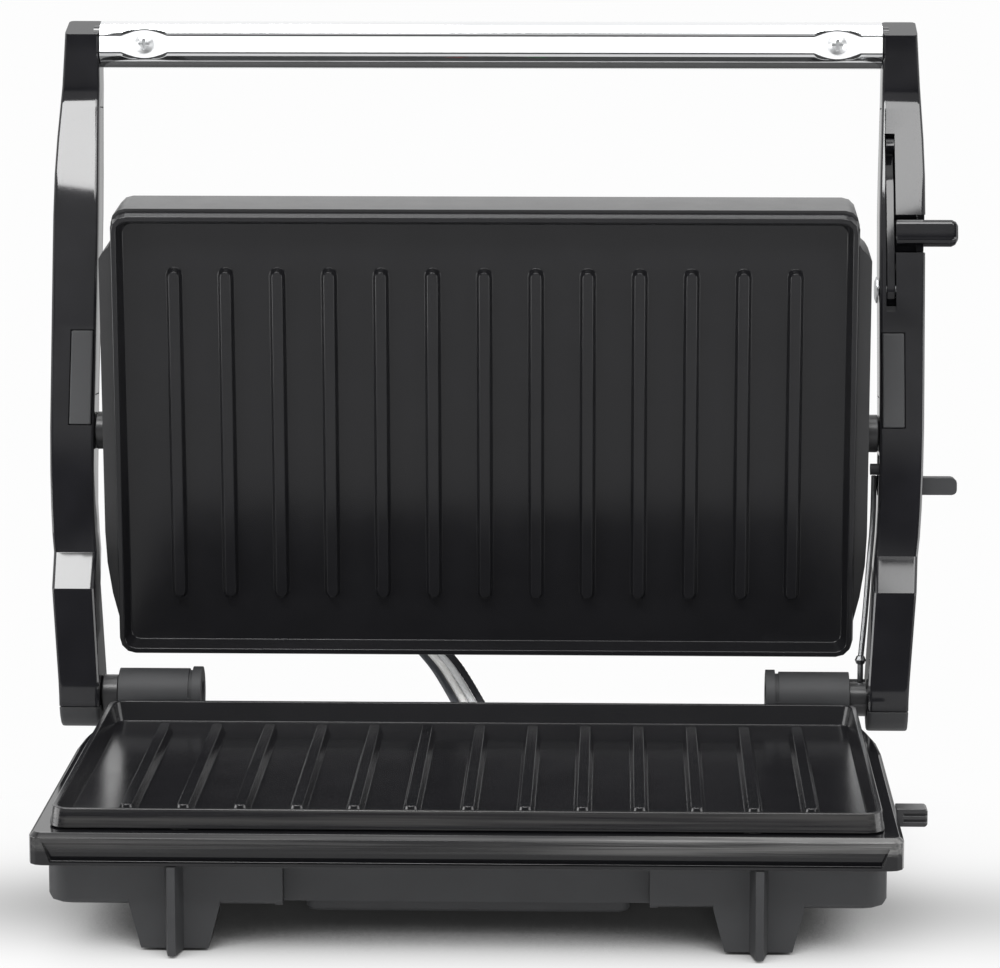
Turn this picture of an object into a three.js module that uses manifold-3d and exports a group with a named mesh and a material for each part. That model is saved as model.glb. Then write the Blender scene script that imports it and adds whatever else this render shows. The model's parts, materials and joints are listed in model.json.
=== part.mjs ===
// Contact grill: a ribbed lower plate in a footed base, and a floating lid with a second
// ribbed plate, hung between two hinged arms that a tubular handle joins.
// Millimetres. +X is the user's right, +Y the back, +Z up.
// It stands open: the arms lean back on their stop and the lid hangs on its pivots.
import * as THREE from 'three';
import { mergeVertices } from 'three/addons/utils/BufferGeometryUtils.js';
import Module from 'manifold-3d';

const wasm = await Module();
wasm.setup();

const degree = Math.PI / 180;

// How the grill stands: the arms' turn from shut, and the lid's tilt back from them.
const armsOpenAngle = 94.7 * degree;
const lidTiltAngle = 9 * degree;
const latchSwingAngle = 116 * degree;

// Shared clearances and cutting overrun.
const seatGap = 0.3;
const runningGap = 0.3;
const overrun = 1;

// Roundness of drawn arcs.
const cornerSteps = 3;
const barrelSides = 24;
const pinSides = 16;
const smallSides = 8;

// Grill plates: both are the same casting.
const plateWidth = 232.6;
const plateDepth = 141;
const plateCorner = 5;
const plateRimWall = 1.6;
const plateRimHeight = 6.1;
const plateRimDraft = 1.5;
const plateRimFlare = 0.7;
const plateFloorWall = 2.4;
const panWall = 2;
const flangeDrop = 5.5;
const ribCount = 13;
const ribMargin = 19.1;
const ribEndMargin = 17.95;
const ribFoot = 5;
const ribCrest = 3.2;
const ribHeight = 3;
const plateTabMargin = 36.3;
const plateTabWidth = 2.4;
const plateTabDrop = 1.9;

// Base: a gloss frame round the plate over a matt footed tray.
const frameLedge = 5.7;
const frameFrontLedge = 6;
const frameRearLedge = 8;
const frameCorner = 4;
const frameRearDraw = 6.5;
const frameTaperStart = 32;
const frameTop = 34.8;
const frameHeight = 9.1;
const frameWall = 2.2;
const frameEdge = 1.3;
const panelDepth = 0.6;
const panelFootDepth = 2;
const panelEdge = 1.3;
const panelLip = 0.8;
const panelSlant = 2.2;
const frameReturn = 16;
const frameReturnWall = 2;
const traySideSet = 4;
const trayFrontSet = 8;
const trayRearSet = 5;
const trayCorner = 6;
const trayBottom = 12.4;
const trayWall = 2.2;
const trayEdge = 2;
const gripHalfWidth = 51.5;
const gripSet = 6;
const gripSlot = 2;
const hatchHalfWidth = 46;
const hatchFrontSet = 12.5;
const hatchRear = 34;
const hatchDrop = 4.5;
const hatchCorner = 3;
const hatchWall = 1.8;
const wellInset = 5;
const footInset = 36;
const footTopWidth = 25.5;
const footFootWidth = 19;
const footTopDepth = 17;
const footFootDepth = 13;
const finThickness = 2.2;
const finReach = 8.5;
const finFlare = 3.4;
const padWidth = 12;
const padDepth = 8;
const padHeight = 1.6;
const padSeat = 1;
const screwPostInset = 9;
const screwPostRow = 56;
const screwPostRadius = 4;
const screwShankRadius = 1.4;
const screwHeadRadius = 2.8;
const screwHeadHeight = 1.8;
const screwSink = 5;
const lugRoom = 0.7;

// Arm hinge: barrels moulded on the tray, pins with a stop collar, arm knuckles.
const hingeBehindFrame = 5.7;
const hingeHeight = 39.8;
const hingePinRadius = 4;
const barrelRadius = 8;
const collarLength = 5.6;
const barrelLength = 26.1;
const barrelRing = 2.9;
const barrelRingLip = 0.6;
const barrelSlit = 1.2;
const pedestalInset = 2.2;
const pedestalBehindHinge = 3.8;
const pedestalBeforeHinge = 4.2;
const collarRadius = 5.9;
const collarRecessRadius = 4.9;
const knuckleRadius = 10.5;

// Lid pivot, with the lid shut over the base.
const pivotBack = 2.5;
const pivotBelowRoof = 11.8;
const shutRibGap = 6.6;
const pivotCollarRadius = 6;
const pivotJournalRadius = 3.6;
const pivotBushRadius = 5.6;
const pivotBushLength = 8;
const pivotHeadRadius = 7;
const pivotHeadWall = 2.4;

// Arms, measured from the hinge: reach runs forward and rise runs up with the grill shut.
const armBeyondHinge = 128.8;
const gripBeforeEnd = 21.5;
const armRise = 57;
const kneeStart = 34;
const kneeEnd = 44;
const kneeLow = 0.8;
const kneeHigh = 13;
const bendAfterPivot = 68.3;
const bendRise = 40.8;
const armBushWall = 1.9;
const noseLean = 4.6;
const armEdge = 1.4;
const armWall = 2.2;
const armCoverWall = 1;
const armPocketAfterPivot = 11.3;
const armPocketBeforeGrip = 6.5;
const capSplit = 3;
const stationGap = 1;
const armLidGap = 6.1;
const armWidth = 13;
const armInnerDraw = 6.6;
const armOuterDraw = 6.9;
const armInnerShares = [
  [0, 1],
  [0.066, 1],
  [0.16, 0.75],
  [0.29, 0.39],
  [0.7, 0.27],
  [0.9, 0.04],
  [1, 0],
];
const armOuterShares = [
  [0, 1],
  [0.066, 0.9],
  [0.16, 0.667],
  [0.245, 0.348],
  [0.385, 0.16],
  [0.63, 0.05],
  [0.78, 0],
  [0.9, 0.14],
  [1, 0.29],
];
const insetAfterPivot = 2.3;
const insetLength = 29.5;
const insetWidth = 7;
const insetOffset = 0.9;
const insetDepth = 1;
const insetProud = 0.25;

// Handle: a flattened tube on spigots of the arms, held by one screw at each end.
const handleBeforeEnd = 7.8;
const handleRadius = 7.6;
const handleWall = 1.2;
const handleFlatHalf = 2.8;
const dimpleSpan = 11.5;
const dimpleLand = 4;
const dimpleDepth = 1.7;
const handleScrewInset = 14.5;
const spigotLength = 24;
const handleScrewHead = 3.1;
const handleScrewDome = 1.3;
const crossWidth = 0.9;
const crossSpan = 3.6;
const crossDepth = 0.9;

// Lid housing, measured from its front edge with the grill shut.
const lidOverhang = 1.5;
const lidLedge = 4.6;
const lidNoseDraw = 4.1;
const lidTailDraw = 4.5;
const lidStepStart = 10.5;
const lidStepEnd = 16;
const lidTaperStart = 104;
const lidTaperRest = 9.5;
const lidCorner = 4.5;
const lidDepth = 27.1;
const lidWall = 2.2;
const lidEdge = 3;
const coverPanelInset = 9;
const coverPanelWall = 0.8;
const coverPanelSet = 0.3;
const lightReach = 14;
const lightFromFront = 22.5;
const lightRadius = 4;
const lightDome = 1.4;
const lightDepth = 7;

// Heating: a tubular element, a shield that clamps it, and the controls.
const elementRadius = 3.25;
const elementSideMargin = 32.3;
const elementEndMargin = 30.5;
const elementBend = 14;
const elementTail = 12;
const elementStepShare = 3;
const shieldSideMargin = 18.3;
const shieldEndMargin = 17.5;
const shieldCorner = 6;
const shieldWall = 0.8;
const shieldLip = 3;
const bossRadius = 4;
const bossInset = 24;
const thermostatRadius = 8;
const thermostatHeight = 4.5;
const thermostatFlange = 11;
const fuseRadius = 2;
const fuseLength = 12;
const terminalLength = 34;
const terminalDepth = 13;
const terminalRoom = 2.1;

// Latch: a hook that swings out of the right arm to hold a peg on the base.
const pegLength = 9.3;
const pegDepth = 7.1;
const pegHeight = 5.3;
const pegAfterPivot = 34;
const pegBelowTop = 1.5;
const pegGroove = 0.6;
const latchAfterPeg = 11.3;
const latchAboveUnderside = 5;
const latchPlate = 2.6;
const latchBody = 5;
const latchBossRadius = 4.2;
const latchHookDrop = 3.6;
const latchHookReach = 6.4;
const latchBarReach = 18;
const latchBarWidth = 8;
const latchBarDepth = 7.6;
const latchBarProud = 1.4;
const latchBarProudOfArm = 10.2;
const latchBarRound = 2;
const latchSlotLead = 6.5;
const latchSlotRoom = 0.4;
const latchPinRadius = 1.6;
const rivetHeadRadius = 4.2;
const rivetHeadWall = 1;
const grooveRoom = 2;

// Release: a spring-back tab on the right arm lifts a rod out of the collar's recess.
const tabBelowNub = 5.1;
const tabProudOfArm = 9.4;
const tabWidth = 5.4;
const tabDepth = 8;
const tabRound = 1.6;
const nubBelowPivot = 11.2;
const nubRadius = 1.8;
const nubProud = 2.5;
const releaseTravel = 2.5;
const rodRadius = 0.9;
const ballRadius = 1.75;
const ballReach = 11.9;
const rodSteps = 12;
const rodPlaceShares = [0, 0.25, 0.5, 0.75];

// Leads between lid and base, and the rubber rings that they pass.
const leadRadius = 1.1;
const leadPitch = 2.8;
const leadSides = 7;
const leadSteps = 18;
const leadExitAcross = -17.5;
const leadEntryAcross = 5;
const leadDriftShares = [0.2, 0.58];
const leadExitAbovePivot = -2;
const leadBelowRim = 4.4;
const ringWidth = 13.6;
const ringHeight = 6;
const ringFlange = 1.6;
const ringProud = 1.2;
const glandBesideFoot = 7.25;
const glandRadius = 4.2;
const glandBore = 3;
const glandProud = 5;
const glandFlange = 5.3;
const glandBelowRim = 5.6;
const glandFlangeWall = 1.6;

// Places that follow from the sizes above.
const plateHalfWidth = plateWidth / 2;
const plateHalfDepth = plateDepth / 2;
const plateTabReach = plateHalfWidth - plateTabMargin;
const ribPitch = (plateWidth - 2 * ribMargin) / (ribCount - 1);
const ribLength = plateDepth - 2 * ribEndMargin;
const elementHalfWidth = plateHalfWidth - elementSideMargin;
const elementHalfDepth = plateHalfDepth - elementEndMargin;
const shieldHalfWidth = plateHalfWidth - shieldSideMargin;
const shieldHalfDepth = plateHalfDepth - shieldEndMargin;
const frameHalfWidth = plateHalfWidth + frameLedge;
const frameRearHalfWidth = frameHalfWidth - frameRearDraw;
const frameFront = -plateHalfDepth - frameFrontLedge;
const frameRear = plateHalfDepth + frameRearLedge;
const trayHalfWidth = frameHalfWidth - traySideSet;
const trayFront = frameFront + trayFrontSet;
const trayRear = frameRear - trayRearSet;
const footReach = trayHalfWidth - footInset;
const hatchFront = trayFront + hatchFrontSet;
const screwPostReach = trayHalfWidth - screwPostInset;
const hingeBack = frameRear + hingeBehindFrame;
const pedestalRear = hingeBack + pedestalBehindHinge;
const pedestalFront = hingeBack - pedestalBeforeHinge;
const lidHalfWidth = plateHalfWidth + lidLedge;
const lidNoseHalfWidth = lidHalfWidth - lidNoseDraw;
const lidTailHalfWidth = lidHalfWidth - lidTailDraw;
const lidTaperEnd = plateDepth + 2 * lidOverhang - lidTaperRest;
const flangeTop = frameTop + seatGap;
const rimTop = flangeTop + flangeDrop;
const floorTop = rimTop - plateRimHeight;
const ribTop = floorTop + ribHeight;
const floorUnder = floorTop - plateFloorWall;
const frameBottom = frameTop - frameHeight;
const trayTop = frameBottom - seatGap;
const trayFloor = trayBottom + trayWall;
const shutLedge = ribTop + shutRibGap + (ribTop - flangeTop) + seatGap;
const pivotHeight = shutLedge + lidDepth - pivotBelowRoof;
const pivotReach = hingeBack - pivotBack;
const armReach = hingeBack + armBeyondHinge;
const gripReach = armReach - gripBeforeEnd;
const bendReach = pivotReach + bendAfterPivot;
const armDepth = 2 * (pivotBushRadius + armBushWall);
const pegReach = pivotReach + pegAfterPivot;
const latchReach = pegReach + latchAfterPeg;
const lightRow = lightFromFront - plateHalfDepth;
const bossReach = elementHalfWidth - bossInset;
const glandAcross = footReach - footTopWidth / 2 - glandBesideFoot;
const terminalHeight = frameBottom - trayFloor - terminalRoom;
const pivotRise = pivotHeight - hingeHeight;
const armInnerFace = lidHalfWidth + armLidGap;
const armOuterFace = armInnerFace + armWidth;
const armInner = armInnerShares.map(([reach, draw]) => [reach * armReach, armInnerFace - draw * armInnerDraw]);
const armOuter = armOuterShares.map(([reach, draw]) => [reach * armReach, armOuterFace - draw * armOuterDraw]);
const barrelOuter = armInner[0][1] - collarLength;
const barrelInner = barrelOuter - barrelLength;
const armPocketStart = pivotReach + armPocketAfterPivot;
const armPocketEnd = gripReach - armPocketBeforeGrip;
const insetStart = pivotReach + insetAfterPivot;
const insetEnd = insetStart + insetLength;
const handleReach = armReach - handleBeforeEnd;
const handleLength = 2 * (armInnerFace - seatGap);
const nubReach = pivotReach - nubBelowPivot;
const tabReach = nubReach - tabBelowNub;
const tabTip = armOuterFace + tabProudOfArm;
const latchBarTip = armOuterFace + latchBarProudOfArm;
const latchSlotStart = latchReach - latchSlotLead;
const pegTop = frameTop - pegBelowTop;
const lugTop = floorUnder - lugRoom;
const leadEntryHeight = trayTop - leadBelowRim;
const glandHeight = trayTop - glandBelowRim;

// Wraps a closed geometry as a solid that can be joined and cut.
function solid(geometry) {
  const bare = geometry.clone();
  bare.deleteAttribute('normal');
  bare.deleteAttribute('uv');
  const merged = mergeVertices(bare);
  const mesh = new wasm.Mesh({
    numProp: 3,
    vertProperties: new Float32Array(merged.attributes.position.array),
    triVerts: new Uint32Array(merged.index.array),
  });
  return new wasm.Manifold(mesh);
}

function join(first, ...others) {
  return others.reduce((whole, other) => whole.add(other), first);
}

function cut(body, ...tools) {
  return tools.reduce((rest, tool) => rest.subtract(tool), body);
}

// Skins a closed body through rings of points that all have the same count.
function loft(rings) {
  const count = rings[0].length;
  const points = rings.flat();
  const faces = [];
  for (let ring = 0; ring + 1 < rings.length; ring += 1) {
    for (let side = 0; side < count; side += 1) {
      const next = (side + 1) % count;
      const low = ring * count;
      const high = low + count;
      faces.push(low + side, low + next, high + next);
      faces.push(low + side, high + next, high + side);
    }
  }
  for (const [a, b, c] of capFaces(rings[0])) {
    faces.push(c, b, a);
  }
  const top = (rings.length - 1) * count;
  for (const [a, b, c] of capFaces(rings[rings.length - 1])) {
    faces.push(top + a, top + b, top + c);
  }
  if (volume(points, faces) < 0) {
    for (let at = 0; at < faces.length; at += 3) {
      [faces[at], faces[at + 1]] = [faces[at + 1], faces[at]];
    }
  }
  const geometry = new THREE.BufferGeometry();
  const position = new THREE.Float32BufferAttribute(points.flat(), 3);
  geometry.setAttribute('position', position);
  geometry.setIndex(faces);
  return geometry;
}

// Triangles that fill a flat ring and turn the same way as it does.
function capFaces(ring) {
  const spread = [0, 1, 2].map((axis) => {
    const values = ring.map((point) => point[axis]);
    return Math.max(...values) - Math.min(...values);
  });
  const least = spread.indexOf(Math.min(...spread));
  const [across, up] = [0, 1, 2].filter((axis) => axis !== least);
  const flat = ring.map((point) => new THREE.Vector2(point[across], point[up]));
  const clockwise = THREE.ShapeUtils.isClockWise(flat);
  const faces = THREE.ShapeUtils.triangulateShape(flat, []);
  return faces.map(([a, b, c]) => (clockwise ? [c, b, a] : [a, b, c]));
}

function volume(points, faces) {
  let sum = 0;
  for (let at = 0; at < faces.length; at += 3) {
    const [a, b, c] = [0, 1, 2].map((corner) => new THREE.Vector3(...points[faces[at + corner]]));
    sum += a.dot(b.cross(c));
  }
  return sum;
}

function block(x, y, z) {
  const geometry = new THREE.BoxGeometry(x[1] - x[0], y[1] - y[0], z[1] - z[0]);
  geometry.translate((x[0] + x[1]) / 2, (y[0] + y[1]) / 2, (z[0] + z[1]) / 2);
  return solid(geometry);
}

// Round bar along X.
function bar(radius, from, to, y, z, sides = pinSides) {
  const geometry = new THREE.CylinderGeometry(radius, radius, Math.abs(to - from), sides);
  geometry.rotateZ(Math.PI / 2);
  geometry.translate((from + to) / 2, y, z);
  return solid(geometry);
}

// Round bar along Y.
function stub(radius, x, from, to, z, sides = pinSides) {
  const geometry = new THREE.CylinderGeometry(radius, radius, Math.abs(to - from), sides);
  geometry.translate(x, (from + to) / 2, z);
  return solid(geometry);
}

// Round bar along Z.
function post(radius, x, y, from, to, sides = pinSides) {
  const geometry = new THREE.CylinderGeometry(radius, radius, Math.abs(to - from), sides);
  geometry.rotateX(Math.PI / 2);
  geometry.translate(x, y, (from + to) / 2);
  return solid(geometry);
}

// Rounded rectangle as points, centred on a place.
function roundedBox(halfWidth, halfDepth, radius, x = 0, y = 0) {
  const points = [];
  const corners = [[1, 1], [-1, 1], [-1, -1], [1, -1]];
  corners.forEach(([right, back], index) => {
    for (let step = 0; step <= cornerSteps; step += 1) {
      const turn = (index + step / cornerSteps) * (Math.PI / 2);
      const across = right * (halfWidth - radius) + radius * Math.cos(turn);
      const along = back * (halfDepth - radius) + radius * Math.sin(turn);
      points.push([x + across, y + along]);
    }
  });
  return points;
}

// Bar end shape of a rib: two half rounds joined by straight sides, along Y.
function capsule(halfWidth, halfLength, x) {
  const points = [];
  const steps = 2 * cornerSteps;
  for (const end of [1, -1]) {
    for (let step = 0; step <= steps; step += 1) {
      const turn = end * (step / steps) * Math.PI;
      const across = end * halfWidth * Math.cos(turn);
      const along = end * (halfLength - halfWidth) + halfWidth * Math.sin(turn);
      points.push([x + across, along]);
    }
  }
  return points;
}

// Closed plan that is mirrored about X = 0, from the points of its right-hand side.
function mirrored(rightSide) {
  const left = rightSide.map(([x, y]) => [-x, y]).reverse();
  return [...rightSide, ...left];
}

function atHeight(plan, z) {
  return plan.map(([x, y]) => [x, y, z]);
}

// Solid through plans at rising heights: levels are [plan, height] pairs.
function stack(levels) {
  return solid(loft(levels.map(([plan, z]) => atHeight(plan, z))));
}

function slab(plan, from, to) {
  return stack([[plan, from], [plan, to]]);
}

// Value at a place in a table of [place, value] pairs, smooth through its inner rows.
function along(table, place) {
  const last = table.length - 2;
  let row = table.findLastIndex(([start]) => start <= place);
  row = Math.min(Math.max(row, 0), last);
  const [p1, v1] = table[row];
  const [p2, v2] = table[row + 1];
  const [p0, v0] = table[Math.max(row - 1, 0)];
  const [p3, v3] = table[Math.min(row + 2, last + 1)];
  const span = p2 - p1;
  const share = Math.min(Math.max((place - p1) / span, 0), 1);
  const startSlope = ((v2 - v0) / (p2 - p0)) * span;
  const endSlope = ((v3 - v1) / (p3 - p1)) * span;
  const square = share * share;
  const cube = square * share;
  return (2 * cube - 3 * square + 1) * v1 + (cube - 2 * square + share) * startSlope
    + (3 * square - 2 * cube) * v2 + (cube - square) * endSlope;
}

// Tube along a curve, from an outline that the path carries.
function swept(curve, radius, sides, steps) {
  const outline = new THREE.Shape();
  for (let side = 0; side < sides; side += 1) {
    const turn = (side / sides) * 2 * Math.PI;
    const x = radius * Math.cos(turn);
    const y = radius * Math.sin(turn);
    if (side === 0) {
      outline.moveTo(x, y);
    } else {
      outline.lineTo(x, y);
    }
  }
  outline.closePath();
  return new THREE.ExtrudeGeometry(outline, { extrudePath: curve, steps, curveSegments: 1 });
}

// Plan of the base frame: square front corners eased, sides drawn in towards the hinge.
function framePlan(inset) {
  const half = frameHalfWidth - inset;
  const tail = frameRearHalfWidth - inset;
  const front = frameFront + inset;
  const rear = frameRear - inset;
  const corner = Math.max(frameCorner - inset, frameEdge);
  const points = [];
  for (let step = 0; step <= cornerSteps; step += 1) {
    const turn = -Math.PI / 2 + (step / cornerSteps) * (Math.PI / 2);
    const x = half - corner + corner * Math.cos(turn);
    points.push([x, front + corner + corner * Math.sin(turn)]);
  }
  const taperEnd = rear - corner / 2;
  for (let step = 0; step <= cornerSteps; step += 1) {
    const share = step / cornerSteps;
    const y = frameTaperStart + share * (taperEnd - frameTaperStart);
    points.push([half - share * share * (half - tail), y]);
  }
  points.push([tail - corner / 2, rear]);
  return mirrored(points);
}

// Plan of the lid housing: a narrower nose, full width, then drawn in towards the hinge.
function lidPlan(inset) {
  const front = -plateHalfDepth - lidOverhang;
  const rear = plateHalfDepth + lidOverhang;
  const corner = Math.max(lidCorner - inset, lidEdge);
  const nose = lidNoseHalfWidth - inset;
  const half = lidHalfWidth - inset;
  const tail = lidTailHalfWidth - inset;
  const points = [];
  for (let step = 0; step <= cornerSteps; step += 1) {
    const turn = -Math.PI / 2 + (step / cornerSteps) * (Math.PI / 2);
    const x = nose - corner + corner * Math.cos(turn);
    points.push([x, front + inset + corner + corner * Math.sin(turn)]);
  }
  for (let step = 0; step <= cornerSteps; step += 1) {
    const share = step / cornerSteps;
    const eased = share * share * (3 - 2 * share);
    const y = front + lidStepStart + share * (lidStepEnd - lidStepStart);
    points.push([nose + eased * (half - nose), y]);
  }
  for (let step = 0; step <= cornerSteps; step += 1) {
    const share = step / cornerSteps;
    const y = front + lidTaperStart + share * (lidTaperEnd - lidTaperStart);
    points.push([half - share * share * (half - tail), y]);
  }
  for (let step = 1; step <= cornerSteps; step += 1) {
    const turn = (step / cornerSteps) * (Math.PI / 2);
    const x = tail - corner + corner * Math.cos(turn);
    points.push([x, rear - inset - corner + corner * Math.sin(turn)]);
  }
  return mirrored(points);
}

// Grill plate, ribs up, with its flange underside at flangeTop.
function grillPlate() {
  const panHalfWidth = plateHalfWidth - plateRimWall - plateRimDraft + panWall;
  const panHalfDepth = plateHalfDepth - plateRimWall - plateRimDraft + panWall;
  const rim = stack([
    [roundedBox(plateHalfWidth + plateRimFlare, plateHalfDepth + plateRimFlare, plateCorner), flangeTop],
    [roundedBox(plateHalfWidth, plateHalfDepth, plateCorner), rimTop],
  ]);
  const panCorner = plateCorner - plateRimWall;
  const pan = slab(roundedBox(panHalfWidth, panHalfDepth, panCorner), floorUnder, rimTop - overrun);
  const mouthHalfWidth = plateHalfWidth - plateRimWall;
  const mouthHalfDepth = plateHalfDepth - plateRimWall;
  const mouth = roundedBox(mouthHalfWidth, mouthHalfDepth, panCorner);
  const floorPlan = roundedBox(mouthHalfWidth - plateRimDraft, mouthHalfDepth - plateRimDraft,
    panCorner - plateRimDraft / 2);
  const dish = stack([[floorPlan, floorTop], [mouth, rimTop], [mouth, rimTop + overrun]]);
  let plate = cut(join(rim, pan), dish);
  for (let rib = 0; rib < ribCount; rib += 1) {
    const x = (rib - (ribCount - 1) / 2) * ribPitch;
    const slope = (ribFoot - ribCrest) / 2;
    const foot = capsule(ribFoot / 2, ribLength / 2 + slope, x);
    const crest = capsule(ribCrest / 2, ribLength / 2, x);
    plate = plate.add(stack([
      [foot, floorTop - plateFloorWall / 2],
      [foot, floorTop],
      [crest, ribTop],
    ]));
  }
  for (const side of [-1, 1]) {
    const x = side * plateTabReach;
    const tabFront = -plateHalfDepth + seatGap;
    plate = plate.add(block([x - plateTabWidth / 2, x + plateTabWidth / 2],
      [tabFront, tabFront + panWall / 2], [flangeTop - plateTabDrop, flangeTop + panWall]));
    const bossBottom = floorUnder - 2 * elementRadius - 2 * seatGap;
    plate = plate.add(cut(post(bossRadius, side * bossReach, 0, bossBottom, floorTop - panWall / 2),
      post(screwShankRadius, side * bossReach, 0, bossBottom - overrun, floorUnder, smallSides)));
  }
  return plate;
}

// Heating tube: a long U in one plane, its two ends turned away from the plate.
function heatingElement() {
  const z = floorUnder - seatGap - elementRadius;
  const path = new THREE.CurvePath();
  const left = -elementHalfWidth;
  const right = elementHalfWidth;
  const near = -elementHalfDepth;
  const far = elementHalfDepth;
  const line = (a, b) => path.add(new THREE.LineCurve3(a, b));
  const bend = (a, corner, b) => path.add(new THREE.QuadraticBezierCurve3(a, corner, b));
  const at = (x, y, height = z) => new THREE.Vector3(x, y, height);
  const gap = 2 * elementBend;
  line(at(-gap, far - elementTail), at(-gap, far - elementBend));
  bend(at(-gap, far - elementBend), at(-gap, far), at(-gap - elementBend, far));
  line(at(-gap - elementBend, far), at(left + elementBend, far));
  bend(at(left + elementBend, far), at(left, far), at(left, far - elementBend));
  line(at(left, far - elementBend), at(left, near + elementBend));
  bend(at(left, near + elementBend), at(left, near), at(left + elementBend, near));
  line(at(left + elementBend, near), at(right - elementBend, near));
  bend(at(right - elementBend, near), at(right, near), at(right, near + elementBend));
  line(at(right, near + elementBend), at(right, far - elementBend));
  bend(at(right, far - elementBend), at(right, far), at(right - elementBend, far));
  line(at(right - elementBend, far), at(gap + elementBend, far));
  bend(at(gap + elementBend, far), at(gap, far), at(gap, far - elementBend));
  line(at(gap, far - elementBend), at(gap, far - elementTail - elementBend));
  const length = path.getLength();
  const steps = Math.round(length / (elementStepShare * elementRadius));
  return solid(swept(path, elementRadius, smallSides, steps));
}

// Thin pan that backs the element and holds it up with two screws.
function heatShield() {
  const top = floorUnder - 2 * elementRadius - 2 * seatGap - seatGap;
  const outer = roundedBox(shieldHalfWidth, shieldHalfDepth, shieldCorner);
  const inner = roundedBox(shieldHalfWidth - shieldWall, shieldHalfDepth - shieldWall,
    shieldCorner - shieldWall);
  let pan = cut(slab(outer, top - shieldWall, top + shieldLip), slab(inner, top, top + shieldLip + overrun));
  for (const side of [-1, 1]) {
    const hole = screwShankRadius + runningGap;
    pan = cut(pan, post(hole, side * bossReach, 0, top - shieldLip, top + shieldLip, smallSides));
  }
  return pan;
}

// Pan-head screw that points up, its head's underside at a height.
function screwUp(x, y, seat, length) {
  const profile = [
    new THREE.Vector2(0, -screwHeadHeight),
    new THREE.Vector2(screwHeadRadius / 2, -screwHeadHeight),
    new THREE.Vector2(screwHeadRadius, -screwHeadHeight / 2),
    new THREE.Vector2(screwHeadRadius, 0),
    new THREE.Vector2(screwShankRadius - runningGap / 3, 0),
    new THREE.Vector2(screwShankRadius - runningGap / 3, length),
    new THREE.Vector2(0, length),
  ];
  const geometry = new THREE.LatheGeometry(profile, smallSides);
  geometry.rotateX(Math.PI / 2);
  geometry.translate(x, y, seat);
  return solid(geometry);
}

// Front of the frame between its two corner blocks, set in and leaning back towards a thin lip.
function frontPanel() {
  const top = frameTop - frameEdge - panelEdge;
  const bottom = frameBottom + panelLip;
  const reach = frameHalfWidth - frameCorner;
  const out = frameFront - overrun;
  const ring = (z, halfWidth, depth) => [
    [-halfWidth, out, z],
    [halfWidth, out, z],
    [halfWidth, frameFront + depth, z],
    [-halfWidth, frameFront + depth, z],
  ];
  return solid(loft([
    ring(bottom, reach - panelSlant, panelFootDepth),
    ring(top, reach, panelDepth),
  ]));
}

// Screw that holds the shield on a boss of the plate.
function shieldScrew(side) {
  const under = floorUnder - 2 * elementRadius - 3 * seatGap - shieldWall;
  return screwUp(side * bossReach, 0, under - seatGap / 3, floorUnder - under - overrun);
}

// Base frame: a ledge round the plate, an outer wall and an inward return under it.
function baseFrame() {
  let frame = stack([
    [framePlan(0), frameBottom],
    [framePlan(0), frameTop - frameEdge],
    [framePlan(frameEdge), frameTop],
  ]);
  const hollow = slab(framePlan(frameWall + panelDepth), frameBottom + frameReturnWall, frameTop - frameWall);
  const panHalfWidth = plateHalfWidth - plateRimWall - plateRimDraft + panWall;
  const panHalfDepth = plateHalfDepth - plateRimWall - plateRimDraft + panWall;
  const mouth = roundedBox(panHalfWidth + seatGap, panHalfDepth + seatGap, plateCorner - plateRimWall);
  const opening = slab(mouth, frameTop - 2 * frameWall, frameTop + overrun);
  const returnHalfDepth = panHalfDepth + frameWall - frameReturn + plateCorner;
  const well = slab(roundedBox(frameHalfWidth - frameReturn, returnHalfDepth, plateCorner),
    frameBottom - overrun, frameTop - frameWall);
  frame = cut(frame, frontPanel(), hollow, opening, well);
  for (const side of [-1, 1]) {
    const inner = side * (barrelInner + pedestalInset - seatGap);
    const outer = side * (barrelOuter + seatGap);
    frame = cut(frame, block([Math.min(inner, outer), Math.max(inner, outer)],
      [trayRear + seatGap, frameRear + overrun], [frameBottom - overrun, frameTop + overrun]));
    frame = cut(frame, bar(barrelRadius + barrelRingLip + seatGap, side * (barrelInner - seatGap),
      side * (barrelOuter + seatGap), hingeBack, hingeHeight, barrelSides));
    const slot = side * plateTabReach;
    frame = cut(frame, block([slot - plateTabWidth, slot + plateTabWidth],
      [-plateHalfDepth - seatGap, -panHalfDepth], [frameTop - plateTabDrop - seatGap, frameTop + overrun]));
    for (const row of [-1, 1]) {
      const x = side * screwPostReach;
      const y = row * screwPostRow;
      frame = frame.add(post(screwPostRadius, x, y, frameBottom + frameReturnWall / 2, lugTop, smallSides));
      frame = cut(frame, post(screwShankRadius, x, y, frameBottom - overrun, lugTop - overrun, smallSides));
    }
  }
  const rearHole = block([leadEntryAcross - ringWidth, leadEntryAcross + ringWidth],
    [trayRear, frameRear + overrun], [frameBottom - overrun, frameBottom + frameReturnWall / 2]);
  return cut(frame, rearHole);
}

// Front and back of a foot's sole: the front feet are square to the front, the rear ones to the back.
function footSole(front) {
  const taper = footTopDepth - footFootDepth;
  return front < 0 ? [front, front + footFootDepth] : [front + taper, front + footTopDepth];
}

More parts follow.
